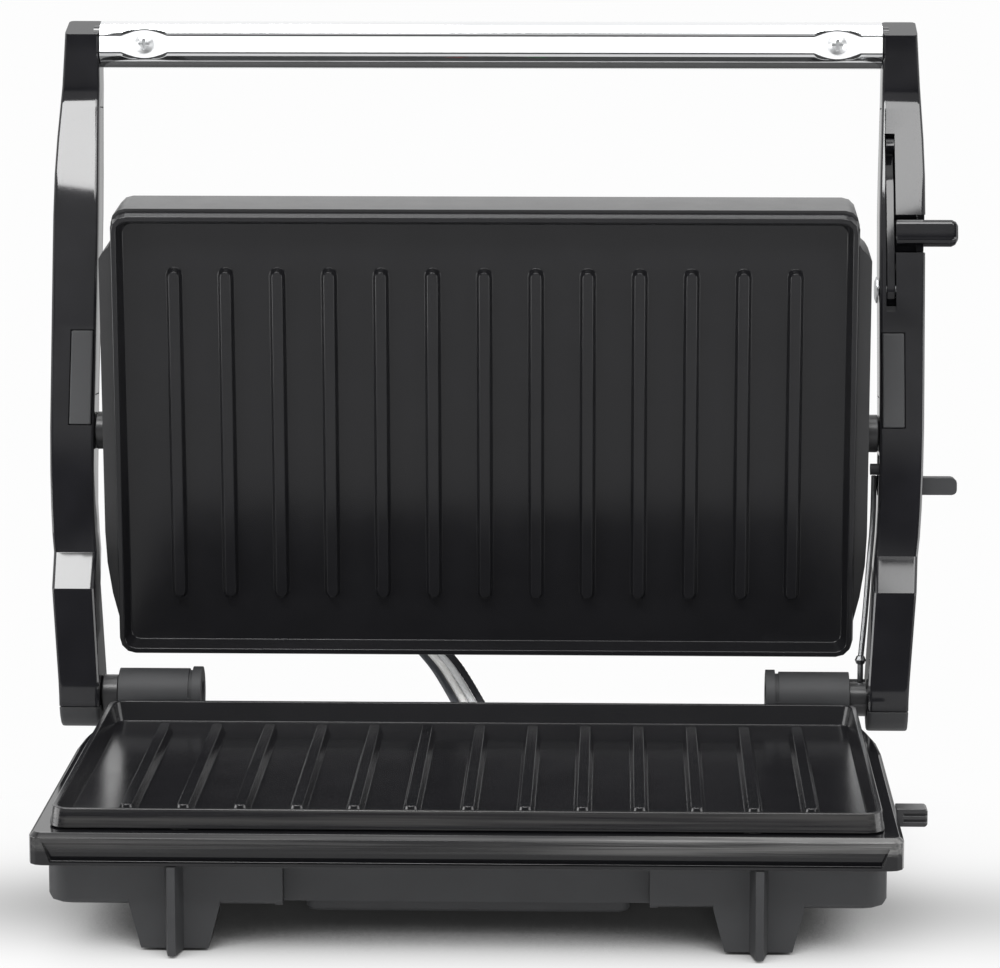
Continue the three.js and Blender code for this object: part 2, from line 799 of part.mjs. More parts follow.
// One tapered foot under the tray, with its pad recess.
function foot(x, front) {
  const back = front + footTopDepth;
  const [padFront, padBack] = footSole(front);
  const ring = (halfWidth, from, to, z) => [
    [x - halfWidth, from, z],
    [x + halfWidth, from, z],
    [x + halfWidth, to, z],
    [x - halfWidth, to, z],
  ];
  const body = solid(loft([
    ring(footFootWidth / 2, padFront, padBack, 0),
    ring(footTopWidth / 2, front, back, trayBottom),
    ring(footTopWidth / 2, front, back, trayBottom + trayEdge),
  ]));
  const padMiddle = (padFront + padBack) / 2;
  const seat = block([x - padWidth / 2 - seatGap, x + padWidth / 2 + seatGap],
    [padMiddle - padDepth / 2 - seatGap, padMiddle + padDepth / 2 + seatGap], [-overrun, padSeat]);
  return cut(body, seat);
}

const footRows = [trayFront, pedestalRear - footTopDepth];

// Tray: the matt lower moulding with feet, front fins, hinge pedestals and barrels.
function baseTray() {
  const plan = (inset) => {
    const middle = (trayFront + trayRear) / 2;
    const halfDepth = (trayRear - trayFront) / 2 - inset;
    return roundedBox(trayHalfWidth - inset, halfDepth, trayCorner - inset / 2, 0, middle);
  };
  const shell = stack([
    [plan(trayEdge), trayBottom],
    [plan(trayEdge / 3), trayBottom + trayEdge / 3],
    [plan(0), trayBottom + trayEdge],
    [plan(0), trayTop],
  ]);
  const inside = stack([
    [plan(trayWall + trayEdge / 2), trayFloor],
    [plan(trayWall), trayFloor + trayEdge],
    [plan(trayWall), trayTop + overrun],
  ]);
  const gripBack = trayFront + gripSet;
  const gripBlock = block([-gripHalfWidth, gripHalfWidth], [trayFront - overrun, gripBack],
    [trayBottom - overrun, trayTop - trayWall]);
  const gripWall = block([-gripHalfWidth - trayWall, gripHalfWidth + trayWall],
    [trayFront + trayWall / 2, gripBack + trayWall], [trayBottom, trayTop - seatGap]);
  let tray = cut(join(cut(shell, inside), gripWall), gripBlock);
  for (const side of [-1, 1]) {
    for (const row of footRows) {
      tray = tray.add(foot(side * footReach, row));
    }
    tray = tray.add(fin(side));
    tray = tray.add(hingeStand(side));
    for (const row of [-1, 1]) {
      const x = side * screwPostReach;
      const y = row * screwPostRow;
      tray = tray.add(post(screwPostRadius, x, y, trayFloor - trayWall / 2, trayTop, smallSides));
      tray = cut(tray, post(screwHeadRadius + seatGap, x, y, trayBottom - overrun, trayBottom + screwSink),
        post(screwShankRadius + seatGap, x, y, trayBottom, trayTop + overrun, smallSides));
    }
  }
  for (const side of [-1, 1]) {
    const bore = bar(hingePinRadius + runningGap, side * (barrelInner - overrun),
      side * (barrelOuter + overrun), hingeBack, hingeHeight);
    tray = cut(tray, bore);
  }
  const well = slab(roundedBox(hatchHalfWidth - wellInset, (hatchRear - hatchFront) / 2 - wellInset,
    hatchCorner, 0, (hatchFront + hatchRear) / 2), trayBottom - overrun, trayFloor + overrun);
  const leadHole = block([leadEntryAcross - ringWidth / 2 - seatGap, leadEntryAcross + ringWidth / 2 + seatGap],
    [trayRear - 2 * trayWall, trayRear + overrun],
    [leadEntryHeight - ringHeight / 2 - seatGap, leadEntryHeight + ringHeight / 2 + seatGap]);
  const glandHole = stub(glandRadius + seatGap, glandAcross, trayRear - 2 * trayWall,
    trayRear + overrun, glandHeight);
  return cut(tray, well, leadHole, glandHole);
}

// Upright fin in front of a front foot, thicker where it meets the tray.
function fin(side) {
  const x = side * footReach;
  const half = finThickness / 2;
  const root = half + finFlare / 2;
  const front = trayFront - finReach;
  const back = trayFront + trayWall / 2;
  const plan = [[x - half, front], [x + half, front], [x + root, back], [x - root, back]];
  return slab(plan, 0, trayTop);
}

// Pedestal that carries a hinge barrel up behind the frame, with its ringed inner end.
function hingeStand(side) {
  const inner = barrelInner + pedestalInset;
  const outer = barrelOuter - pedestalInset;
  const x = side > 0 ? [inner, outer] : [-outer, -inner];
  const shoulder = footReach - footTopWidth / 2;
  const base = side > 0 ? [shoulder, outer] : [-outer, -shoulder];
  const low = block(base, [trayRear - trayWall, pedestalRear], [trayFloor - trayWall / 2, trayTop]);
  const high = block(x, [pedestalFront, pedestalRear], [trayTop - overrun, hingeHeight]);
  const barrel = bar(barrelRadius, side * barrelInner, side * barrelOuter, hingeBack, hingeHeight, barrelSides);
  const ring = bar(barrelRadius + barrelRingLip, side * barrelInner,
    side * (barrelInner + barrelRing), hingeBack, hingeHeight, barrelSides);
  const from = side * (barrelInner + barrelRing + barrelSlit);
  const to = side * (barrelInner + barrelRing);
  const slit = cut(
    bar(barrelRadius + overrun, from, to, hingeBack, hingeHeight, barrelSides),
    bar(barrelRadius - barrelRingLip, from, to, hingeBack, hingeHeight, barrelSides),
    block([-frameHalfWidth, frameHalfWidth], [trayRear, frameRear + barrelRadius * 2], [0, hingeHeight]),
  );
  return cut(join(low, high, barrel, ring), slit);
}

// Plate under the tray that closes its wiring well.
function hatch() {
  const middle = (hatchFront + hatchRear) / 2;
  const halfDepth = (hatchRear - hatchFront) / 2;
  const top = trayBottom - seatGap;
  const outer = roundedBox(hatchHalfWidth, halfDepth, hatchCorner, 0, middle);
  const foot = roundedBox(hatchHalfWidth - hatchWall / 2, halfDepth - hatchWall / 2, hatchCorner, 0, middle);
  const body = stack([[foot, top - hatchDrop], [outer, top - hatchDrop + hatchWall / 2], [outer, top]]);
  const hollow = slab(roundedBox(hatchHalfWidth - wellInset, halfDepth - wellInset, hatchCorner, 0, middle),
    top - hatchDrop + hatchWall, top + overrun);
  return cut(body, hollow);
}

function footPad(x, front) {
  const [padFront, padBack] = footSole(front);
  const plan = roundedBox(padWidth / 2, padDepth / 2, padHeight / 2, x, (padFront + padBack) / 2);
  return slab(plan, padSeat - seatGap - padHeight, padSeat - seatGap);
}

// Height that the pads lift the feet off the table.
const padProud = padHeight + seatGap - padSeat;

// Rounded section of an arm at one reach, between two widths and two heights.
function armRing(reach, inner, outer, low, high, side, slant = 0) {
  const halfWidth = (outer - inner) / 2;
  const halfHeight = (high - low) / 2;
  const radius = Math.min(armEdge, halfHeight * 0.9, halfWidth * 0.9);
  const centre = (high + low) / 2;
  const flat = roundedBox(halfWidth, halfHeight, radius, (inner + outer) / 2, centre);
  return flat.map(([x, z]) => [side * x, -reach - slant * (z - low), z]);
}

// Centre line of an arm as [reach, rise] stations, straight at the ends and curved between.
function armStations() {
  const knuckle = [-capSplit, 0, knuckleRadius / 2, kneeStart].map((reach) => [
    reach,
    Math.max(reach, 0) / kneeStart * kneeLow,
  ]);
  const curve = new THREE.SplineCurve([
    new THREE.Vector2(kneeEnd, kneeHigh),
    new THREE.Vector2(pivotReach, pivotRise),
    new THREE.Vector2(bendReach, bendRise),
    new THREE.Vector2(gripReach, armRise),
  ]);
  const middle = curve.getPoints(4 * cornerSteps).map((point) => [point.x, point.y]);
  return [...knuckle, ...middle, [armReach, armRise]];
}

const armDepths = [
  [kneeStart, armDepth * 1.24],
  [kneeEnd, armDepth * 0.94],
  [pivotReach, armDepth],
  [pivotReach * 1.3, armDepth * 0.88],
  [bendReach, armDepth * 1.04],
  [gripReach, armDepth * 0.87],
  [armReach, armDepth * 0.87],
];

// Half the arm's depth at a reach: round over the knuckle, then the eased table.
function halfDepthAt(reach) {
  if (reach < knuckleRadius / 2) {
    const inside = Math.min(Math.abs(Math.min(reach, 0)), knuckleRadius * 0.98);
    return Math.sqrt(knuckleRadius ** 2 - inside ** 2);
  }
  if (reach < kneeStart) {
    const share = (reach - knuckleRadius / 2) / (kneeStart - knuckleRadius / 2);
    return knuckleRadius + share * (armDepths[0][1] / 2 - knuckleRadius);
  }
  return along(armDepths, reach) / 2;
}

// Rise of the arm's centre line at any reach, read off its stations.
function riseAt(reach) {
  const stations = armStations();
  let row = stations.findLastIndex(([start]) => start <= reach);
  row = Math.min(Math.max(row, 0), stations.length - 2);
  const [fromReach, fromRise] = stations[row];
  const [toReach, toRise] = stations[row + 1];
  const share = (reach - fromReach) / (toReach - fromReach);
  return fromRise + share * (toRise - fromRise);
}

function underAt(reach) {
  return riseAt(reach) - halfDepthAt(reach);
}

// Lofts a run of the arm, inset from its faces by the walls given.
function armRun(side, reaches, { inner = 0, outer = 0, low = 0, high = 0, thickness = null }) {
  const rings = reaches.map((reach) => {
    const from = along(armInner, reach) + inner;
    const to = thickness === null ? along(armOuter, reach) - outer : from + thickness;
    const bottom = underAt(reach) + low;
    const top = riseAt(reach) + halfDepthAt(reach) - high;
    return armRing(reach, from, to, bottom, top, side);
  });
  return solid(loft(rings));
}

function stationsBetween(from, to) {
  const inside = armStations().map(([reach]) => reach)
    .filter((reach) => reach > from + stationGap && reach < to - stationGap);
  return [from, ...inside, to];
}

// Gloss arm shell with its pocket, bores, handle spigot and, on the right, the latch slot.
function armShell(side) {
  const rings = armStations().map(([reach, rise]) => {
    const half = halfDepthAt(reach);
    const slant = reach >= armReach ? noseLean / (2 * half) : 0;
    const lean = reach >= armReach ? noseLean : 0;
    const x = [along(armInner, reach), along(armOuter, reach)];
    return armRing(reach - lean, ...x, rise - half, rise + half, side, slant);
  });
  let arm = solid(loft(rings));
  const pocket = armRun(side, stationsBetween(armPocketStart, armPocketEnd),
    { inner: -overrun, outer: armWall, low: armWall, high: armWall });
  arm = cut(arm, pocket);
  arm = arm.add(handleSpigot(side));
  const pinBore = bar(hingePinRadius + runningGap, side * plateHalfWidth,
    side * (along(armOuter, 0) - armWall), 0, 0);
  const inner = along(armInner, pivotReach);
  const bushBore = bar(pivotBushRadius + seatGap, side * (inner - overrun),
    side * (inner + pivotBushLength + seatGap), -pivotReach, pivotRise);
  arm = cut(arm, pinBore, bushBore, insetRecess(side));
  if (side > 0) {
    arm = cut(arm, latchSlot(), latchGroove(), tabSlot(), rivetHole());
  }
  return arm;
}

// Flat lid of the arm's pocket, set into its mouth.
function armCover(side) {
  const clear = armWall + seatGap;
  const reaches = stationsBetween(armPocketStart + seatGap, armPocketEnd - seatGap);
  const cover = armRun(side, reaches, { low: clear, high: clear, thickness: armCoverWall });
  return side > 0 ? cut(cover, rivetHole()) : cover;
}

// Matt cap that closes the back of a knuckle.
function armCap(side) {
  const from = capSplit + seatGap;
  const reaches = [from, knuckleRadius * 0.62, knuckleRadius * 0.84, knuckleRadius * 0.97];
  const rings = reaches.map((back) => {
    const half = Math.sqrt(knuckleRadius ** 2 - back ** 2);
    return armRing(-back, along(armInner, 0), along(armOuter, 0), -half, half, side);
  });
  const bore = bar(hingePinRadius + runningGap, side * plateHalfWidth,
    side * (along(armOuter, 0) - armWall), 0, 0);
  return cut(solid(loft(rings)), bore);
}

function insetRun(side, grow) {
  const reaches = stationsBetween(insetStart - grow, insetEnd + grow);
  const rings = reaches.map((reach) => {
    const from = along(armInner, reach) + insetOffset - grow;
    const under = underAt(reach);
    const low = grow > 0 ? under - overrun : under - insetProud;
    return armRing(reach, from, from + insetWidth + 2 * grow, low, under + insetDepth + grow, side);
  });
  return solid(loft(rings));
}

// Shallow seat for the matt insert on an arm's underside.
function insetRecess(side) {
  return insetRun(side, seatGap);
}

// Section of the handle tube, front flat towards the plates, at a wall inside its surface.
function handleSection(inset) {
  const radius = handleRadius - inset;
  const flat = Math.sqrt(handleRadius ** 2 - handleFlatHalf ** 2) - inset;
  const points = [];
  for (let side = 0; side < barrelSides; side += 1) {
    const turn = (side / barrelSides) * 2 * Math.PI;
    const z = Math.max(radius * Math.sin(turn), -flat);
    points.push([radius * Math.cos(turn), z]);
  }
  return points;
}

function alongX(section, from, to) {
  const ring = (x) => section.map(([y, z]) => [x, -handleReach + y, armRise + z]);
  return solid(loft([ring(from), ring(to)]));
}

// Pressed land under a handle screw, that runs out smoothly along the tube on both sides.
function dimple(side, inset) {
  const middle = side * (handleLength / 2 - handleScrewInset);
  const front = armRise - handleRadius + inset;
  const steps = 2 * cornerSteps;
  const shape = [];
  for (const way of [-1, 1]) {
    for (let step = 0; step <= steps; step += 1) {
      const share = way < 0 ? step / steps : 1 - step / steps;
      const eased = share * share * (3 - 2 * share);
      shape.push([middle + way * (dimpleSpan - share * (dimpleSpan - dimpleLand)), front + eased * dimpleDepth]);
    }
  }
  shape.push([middle + dimpleSpan, front - handleRadius]);
  shape.push([middle - dimpleSpan, front - handleRadius]);
  const ring = (y) => shape.map(([x, z]) => [x, y, z]);
  return solid(loft([ring(-handleReach - 2 * handleRadius), ring(-handleReach + 2 * handleRadius)]));
}

function handleTube() {
  const half = handleLength / 2;
  let outside = alongX(handleSection(0), -half, half);
  let inside = alongX(handleSection(handleWall), -half - overrun, half + overrun);
  for (const side of [-1, 1]) {
    outside = cut(outside, dimple(side, 0));
    inside = cut(inside, dimple(side, handleWall));
  }
  let tube = cut(outside, inside);
  for (const side of [-1, 1]) {
    const x = side * (half - handleScrewInset);
    tube = cut(tube, post(screwShankRadius + seatGap, x, -handleReach, armRise - 2 * handleRadius,
      armRise, smallSides));
  }
  return tube;
}

// Spigot of an arm that fills the end of the handle tube and takes its screw.
function handleSpigot(side) {
  const half = handleLength / 2;
  const root = side * (half + armWall);
  const tip = side * (half - spigotLength);
  const body = alongX(handleSection(handleWall + seatGap), root, tip);
  const x = side * (half - handleScrewInset);
  const hole = post(screwShankRadius, x, -handleReach, armRise - 2 * handleRadius, armRise + handleWall);
  return cut(body, dimple(side, handleWall + seatGap), hole);
}

// Domed cross-head screw that enters the handle from the side facing the plates.
function handleScrew(side) {
  const x = side * (handleLength / 2 - handleScrewInset);
  const seat = armRise - handleRadius + dimpleDepth - runningGap / 3;
  const profile = [
    new THREE.Vector2(0, -handleScrewDome),
    new THREE.Vector2(handleScrewHead * 0.6, -handleScrewDome * 0.85),
    new THREE.Vector2(handleScrewHead, -handleScrewDome * 0.3),
    new THREE.Vector2(handleScrewHead, 0),
    new THREE.Vector2(screwShankRadius - runningGap / 3, 0),
    new THREE.Vector2(screwShankRadius - runningGap / 3, handleRadius - dimpleDepth),
    new THREE.Vector2(0, handleRadius - dimpleDepth),
  ];
  const geometry = new THREE.LatheGeometry(profile, pinSides);
  geometry.rotateX(Math.PI / 2);
  geometry.translate(x, -handleReach, seat);
  const top = [seat - handleScrewDome - overrun, seat - handleScrewDome + crossDepth];
  const narrow = crossWidth / 2;
  const wide = crossSpan / 2;
  return cut(
    solid(geometry),
    block([x - wide, x + wide], [-handleReach - narrow, -handleReach + narrow], top),
    block([x - narrow, x + narrow], [-handleReach - wide, -handleReach + wide], top),
  );
}

// Hinge pin with its collar; the right one has the recess that the release rod rides in.
function hingePin(side) {
  const inner = along(armInner, 0);
  const pin = bar(hingePinRadius, side * (barrelInner + barrelRing), side * (along(armOuter, 0) - armWall - seatGap), 0, 0);
  const collarFrom = side * (barrelOuter + seatGap);
  const collarTo = side * (inner - seatGap);
  let whole = join(pin, bar(collarRadius, collarFrom, collarTo, 0, 0, barrelSides));
  if (side > 0) {
    whole = cut(whole, stopRecess(collarFrom, collarTo));
  }
  return whole;
}

// Sector of the collar's rim, from where the rod's tip lies shut to where it stops open.
function stopRecess(from, to) {
  const tipHalf = Math.asin((rodRadius + runningGap) / collarRecessRadius);
  const start = -tipHalf;
  const end = armsOpenAngle + tipHalf;
  const shape = [];
  const steps = 3 * cornerSteps;
  const place = (radius, turn) => [-radius * Math.cos(turn), radius * Math.sin(turn)];
  for (let step = 0; step <= steps; step += 1) {
    shape.push(place(collarRecessRadius, start + (step / steps) * (end - start)));
  }
  for (let step = steps; step >= 0; step -= 1) {
    shape.push(place(collarRadius + overrun, start + (step / steps) * (end - start)));
  }
  const ring = (x) => shape.map(([y, z]) => [x, y, z]);
  return solid(loft([ring(from - overrun), ring(to + overrun)]));
}

function pivotPin(side) {
  const wallInside = lidHalfWidth - lidWall;
  const inner = along(armInner, pivotReach);
  const journalEnd = inner + pivotBushLength - seatGap;
  const collar = bar(pivotCollarRadius, side * (lidHalfWidth + seatGap), side * (inner - seatGap), 0, 0, barrelSides);
  const journal = bar(pivotJournalRadius, side * (wallInside - 2 * seatGap), side * journalEnd, 0, 0);
  const head = bar(pivotHeadRadius, side * (wallInside - seatGap - pivotHeadWall),
    side * (wallInside - seatGap), 0, 0);
  return join(collar, journal, head);
}

function pivotBush(side) {
  const inner = along(armInner, pivotReach);
  const from = side * inner;
  const to = side * (inner + pivotBushLength);
  return cut(
    bar(pivotBushRadius, from, to, -pivotReach, pivotRise),
    bar(pivotJournalRadius + runningGap, from - side * overrun, to + side * overrun, -pivotReach, pivotRise),
  );
}

// Lid housing: walls and roof of a deep tray, open towards the plate.
function lidHousing() {
  const ledge = shutLedge;
  const roof = ledge + lidDepth;
  const body = stack([
    [lidPlan(0), ledge],
    [lidPlan(0), roof - lidEdge],
    [lidPlan(lidEdge * 0.3), roof - lidEdge * 0.3],
    [lidPlan(lidEdge), roof],
  ]);
  const inside = stack([
    [lidPlan(lidWall), ledge + lidWall],
    [lidPlan(lidWall), roof - lidWall - lidEdge * 0.5],
    [lidPlan(lidWall + lidEdge * 0.5), roof - lidWall],
  ]);
  const panHalfWidth = plateHalfWidth - plateRimWall - plateRimDraft + panWall;
  const panHalfDepth = plateHalfDepth - plateRimWall - plateRimDraft + panWall;
  const mouth = slab(roundedBox(panHalfWidth + seatGap, panHalfDepth + seatGap, plateCorner - plateRimWall),
    ledge - overrun, ledge + Math.max(lidWall + overrun, flangeTop - floorUnder + seatGap));
  const panelSeat = slab(panelPlan(-seatGap), roof - coverPanelWall - seatGap, roof + overrun);
  let lid = cut(body, inside, mouth, panelSeat);
  for (const side of [-1, 1]) {
    lid = cut(lid, bar(pivotJournalRadius + seatGap, side * (lidHalfWidth - 3 * lidWall),
      side * (lidHalfWidth + overrun), pivotBack, pivotHeight));
    lid = cut(lid, post(lightRadius + seatGap - lightDome / 2, side * lightReach, lightRow, ledge + lidWall + overrun, roof + overrun));
    const slot = side * plateTabReach;
    lid = cut(lid, block([slot - plateTabWidth, slot + plateTabWidth],
      [plateHalfDepth - plateRimWall - plateRimDraft + panWall, plateHalfDepth + seatGap],
      [ledge - overrun, ledge + plateTabDrop + seatGap]));
  }
  const leadZ = pivotHeight + leadExitAbovePivot;
  const leadHole = block([leadExitAcross - ringWidth / 2 - seatGap, leadExitAcross + ringWidth / 2 + seatGap],
    [plateHalfDepth - 2 * lidWall, plateHalfDepth + lidOverhang + overrun],
    [leadZ - ringHeight / 2 - seatGap, leadZ + ringHeight / 2 + seatGap]);
  return cut(lid, leadHole);
}

function panelPlan(inset) {
  return roundedBox(lidTailHalfWidth - coverPanelInset - inset,
    plateHalfDepth + lidOverhang - coverPanelInset - inset, lidCorner);
}

function lidPanel() {
  const roof = shutLedge + lidDepth;
  const floor = roof - coverPanelWall;
  let panel = slab(panelPlan(0), floor, floor + coverPanelWall + coverPanelSet);
  for (const side of [-1, 1]) {
    panel = cut(panel, post(lightRadius + seatGap, side * lightReach, lightRow, floor - overrun, roof + 2 * overrun));
  }
  return panel;
}

function lightLens(side) {
  const roof = shutLedge + lidDepth;
  const stem = lightRadius - lightDome / 2 - seatGap / 3;
  const profile = [
    new THREE.Vector2(0, -lightDepth),
    new THREE.Vector2(stem, -lightDepth),
    new THREE.Vector2(stem, -coverPanelWall),
    new THREE.Vector2(lightRadius, -coverPanelWall),
    new THREE.Vector2(lightRadius, coverPanelSet),
    new THREE.Vector2(lightRadius * 0.7, coverPanelSet + lightDome * 0.7),
    new THREE.Vector2(0, coverPanelSet + lightDome),
  ];
  const geometry = new THREE.LatheGeometry(profile, pinSides);
  geometry.rotateX(Math.PI / 2);
  geometry.translate(side * lightReach, lightRow, roof);
  return solid(geometry);
}

function thermostat() {
  const base = floorUnder - seatGap;
  const flange = slab(roundedBox(thermostatFlange, thermostatRadius / 2, thermostatRadius / 3), base - shieldWall, base);
  const body = post(thermostatRadius, 0, 0, base - thermostatHeight, base - shieldWall / 2);
  return join(flange, body);
}

function thermalFuse() {
  const z = floorUnder - seatGap - fuseRadius;
  const y = elementHalfDepth / 2;
  return join(
    bar(fuseRadius, -fuseLength / 2, fuseLength / 2, y, z, smallSides),
    bar(fuseRadius / 3, -fuseLength, fuseLength, y, z, smallSides),
  );
}

function terminalBlock() {
  const x = -glandAcross;
  const y = trayRear - 2 * trayWall - terminalDepth;
  let body = block([x - terminalLength / 2, x + terminalLength / 2], [y, y + terminalDepth],
    [trayFloor + seatGap, trayFloor + seatGap + terminalHeight]);
  for (const way of [-1, 0, 1]) {
    const hole = post(fuseRadius, x + way * terminalLength / 3, y + terminalDepth / 2,
      trayFloor + terminalHeight / 2, trayFloor + terminalHeight + overrun, smallSides);
    const mouth = stub(fuseRadius, x + way * terminalLength / 3, y - overrun, y + terminalDepth + overrun,
      trayFloor + terminalHeight / 2, smallSides);
    body = cut(body, hole, mouth);
  }
  return body;
}

// Peg that the latch hooks under, grooved along its outer face.
function latchPeg() {
  const y = hingeBack - pegReach;
  const wall = frameHalfWidth;
  const ring = (x, shrink) => [
    [x, y - pegDepth / 2 + shrink, pegTop - pegHeight + shrink],
    [x, y + pegDepth / 2 - shrink, pegTop - pegHeight + shrink],
    [x, y + pegDepth / 2 - shrink, pegTop - shrink],
    [x, y - pegDepth / 2 + shrink, pegTop - shrink],
  ];
  let peg = solid(loft([
    ring(wall + seatGap, 0),
    ring(wall + pegLength - pegGroove, 0),
    ring(wall + pegLength, pegGroove),
  ]));
  for (const share of [1 / 3, 2 / 3]) {
    const z = pegTop - share * pegHeight;
    peg = cut(peg, block([wall + pegLength / 4, wall + pegLength + overrun],
      [y - pegDepth / 2 - overrun, y - pegDepth / 2 + pegGroove], [z - pegGroove / 2, z + pegGroove / 2]));
  }
  return peg;
}

function latchRise() {
  return underAt(latchReach) + latchAboveUnderside;
}

// Reach of the slot's far end, past the tip of the folded hook.
function latchSlotEnd() {
  const spans = latchOutline().map(([forward, up]) => Math.hypot(forward, up));
  return latchReach + Math.max(...spans) + latchSlotRoom;
}

function latchPlane() {
  const from = along(armInner, latchSlotEnd()) + armCoverWall + seatGap;
  return [from, from + latchPlate];
}

// Rivet on which the latch turns, its head on the inner face of the arm's cover.
function latchRivet() {
  const face = along(armInner, latchReach) - seatGap;
  const end = along(armOuter, latchReach) - armWall / 2 - seatGap;
  const profile = [
    new THREE.Vector2(0, -rivetHeadWall),
    new THREE.Vector2(rivetHeadRadius * 0.7, -rivetHeadWall),
    new THREE.Vector2(rivetHeadRadius, -rivetHeadWall / 2),
    new THREE.Vector2(rivetHeadRadius, 0),
    new THREE.Vector2(latchPinRadius, 0),
    new THREE.Vector2(latchPinRadius, end - face),
    new THREE.Vector2(0, end - face),
  ];
  const geometry = new THREE.LatheGeometry(profile, pinSides);
  geometry.rotateZ(-Math.PI / 2);
  geometry.translate(face, -latchReach, latchRise());
  return solid(geometry);
}

// Hole for the rivet through the cover and into the arm's outer wall.
function rivetHole() {
  return bar(latchPinRadius + seatGap, along(armInner, latchReach) - overrun,
    along(armOuter, latchReach) - armWall / 2, -latchReach, latchRise());
}

// Slot along the arm's underside that the hook folds into.
function latchSlot() {
  const [from, to] = latchPlane();
  const x = [from - seatGap, to + seatGap];
  const low = underAt(latchSlotStart) - armDepth / 2;
  const end = latchSlotEnd();
  const high = underAt(end) + armWall;
  const run = block(x, [-end, -latchSlotStart], [low, high]);
  const lining = armRun(1, stationsBetween(latchSlotStart - overrun, end + overrun),
    { low: -armDepth, high: armDepth - armWall - overrun });
  return run.intersect(lining);
}

// Groove across the arm's underside that the latch's thumb bar lies in.
function latchGroove() {
  const [from] = latchPlane();
  const near = latchReach + latchBarReach - latchBarWidth / 2 - grooveRoom;
  const far = latchReach + latchBarReach + latchBarWidth / 2 + grooveRoom;
  const middle = (near + far) / 2;
  const x = [from - seatGap, along(armOuter, middle) + overrun];
  return block(x, [-far, -near], [underAt(near) - armDepth / 2, underAt(middle) + latchBarDepth]);
}

// Hook outline with the grill shut and latched, from its pivot: [forward, up].
function latchOutline() {
  const pegForward = pegReach - latchReach;
  const pegUp = pegTop - pegHeight / 2 - hingeHeight - latchRise();
  const face = pegForward + pegDepth / 2 + 2 * seatGap;
  const under = pegUp - pegHeight / 2 - 2 * seatGap;
  const over = pegUp + pegHeight / 2 + 2 * seatGap;
  const bottom = under - latchHookDrop;
  const points = [];
  const steps = 2 * cornerSteps;
  for (let step = 0; step <= steps; step += 1) {
    const turn = -0.1 * Math.PI + (step / steps) * 1.1 * Math.PI;
    points.push([latchBossRadius * Math.cos(turn), latchBossRadius * Math.sin(turn)]);
  }
  points.push([face - latchBody * 0.2, over + latchBody]);
  points.push([face, over]);
  points.push([face, under]);
  points.push([face - latchHookReach, under]);
  points.push([face - latchHookReach, under - latchHookDrop / 2]);
  points.push([face - latchHookReach + latchHookDrop / 2, bottom]);
  points.push([face + latchBody * 0.6, bottom]);
  points.push([face + latchBody, bottom + latchBody * 0.4]);
  points.push([face + latchBody, over]);
  return points;
}

function latchHook() {
  const [from, to] = latchPlane();
  const ring = (x) => latchOutline().map(([forward, up]) => [x, -forward, up]);
  const plate = solid(loft([ring(from), ring(to)]));
  return cut(plate, bar(latchPinRadius + runningGap, from - overrun, to + overrun, 0, 0));
}

// Thumb bar on the hook's outer face, square to the arm when the hook is folded.
function latchLever() {
  const [, plateFace] = latchPlane();
  const slope = Math.atan2(underAt(latchReach + latchBarReach) - underAt(latchReach), latchBarReach);
  const low = -latchAboveUnderside - latchBarProud;
  const section = roundedBox(latchBarWidth / 2, latchBarDepth / 2, latchBarRound,
    latchBarReach, low + latchBarDepth / 2);
  const turn = slope - latchSwingAngle;
  const latched = section.map(([forward, up]) => [
    forward * Math.cos(turn) - up * Math.sin(turn),
    forward * Math.sin(turn) + up * Math.cos(turn),
  ]);
  const middle = new THREE.Box2().setFromPoints(latched.map(([forward, up]) => new THREE.Vector2(forward, up)))
    .getCenter(new THREE.Vector2());
  const ring = (x, share) => latched.map(([forward, up]) => [
    x,
    -(middle.x + (forward - middle.x) * share),
    middle.y + (up - middle.y) * share,
  ]);
  return solid(loft([
    ring(plateFace + seatGap, 1),
    ring(latchBarTip - latchBarRound, 1),
    ring(latchBarTip - latchBarRound / 3, 0.86),
    ring(latchBarTip, 0.6),
  ]));
}

function nubRise() {
  return riseAt(nubReach);
}

// Way through the right arm for the release tab: its pocket inside and its slot outside.
function tabSlot() {
  const outer = along(armOuter, tabReach);
  const inner = along(armInner, nubReach);
  const z = [nubRise() - tabDepth / 2 - runningGap, nubRise() + tabDepth / 2 + runningGap];
  const front = -tabReach + tabWidth / 2 + runningGap;
  const slot = block([outer - 2 * armWall, outer + overrun],
    [-tabReach - tabWidth / 2 - releaseTravel - runningGap, front], z);
  const pocket = block([inner - 2 * overrun, outer - armWall],
    [-nubReach - nubRadius - releaseTravel - runningGap, front], z);
  return join(slot, pocket);
}

// Release tab: outer grip, shank through the arm and nub on its inner face, in one piece.
function releaseTab() {
  const outer = along(armOuter, tabReach);
  const inner = along(armInner, nubReach);
  const z = [nubRise() - tabDepth / 2, nubRise() + tabDepth / 2];
  const section = roundedBox((tabTip - outer) / 2 + armWall, tabWidth / 2, tabRound,
    (tabTip + outer) / 2 - armWall, -tabReach);
  const grip = slab(section, z[0], z[1]);
  const middle = inner + armCoverWall + 2 * seatGap;
  const carrier = block([middle, outer - armWall - seatGap],
    [-nubReach - nubRadius, -tabReach + tabWidth / 2], z);
  const nub = bar(nubRadius, inner - nubProud, middle + overrun, -nubReach, nubRise(), pinSides);
  return join(grip, carrier, nub);
}

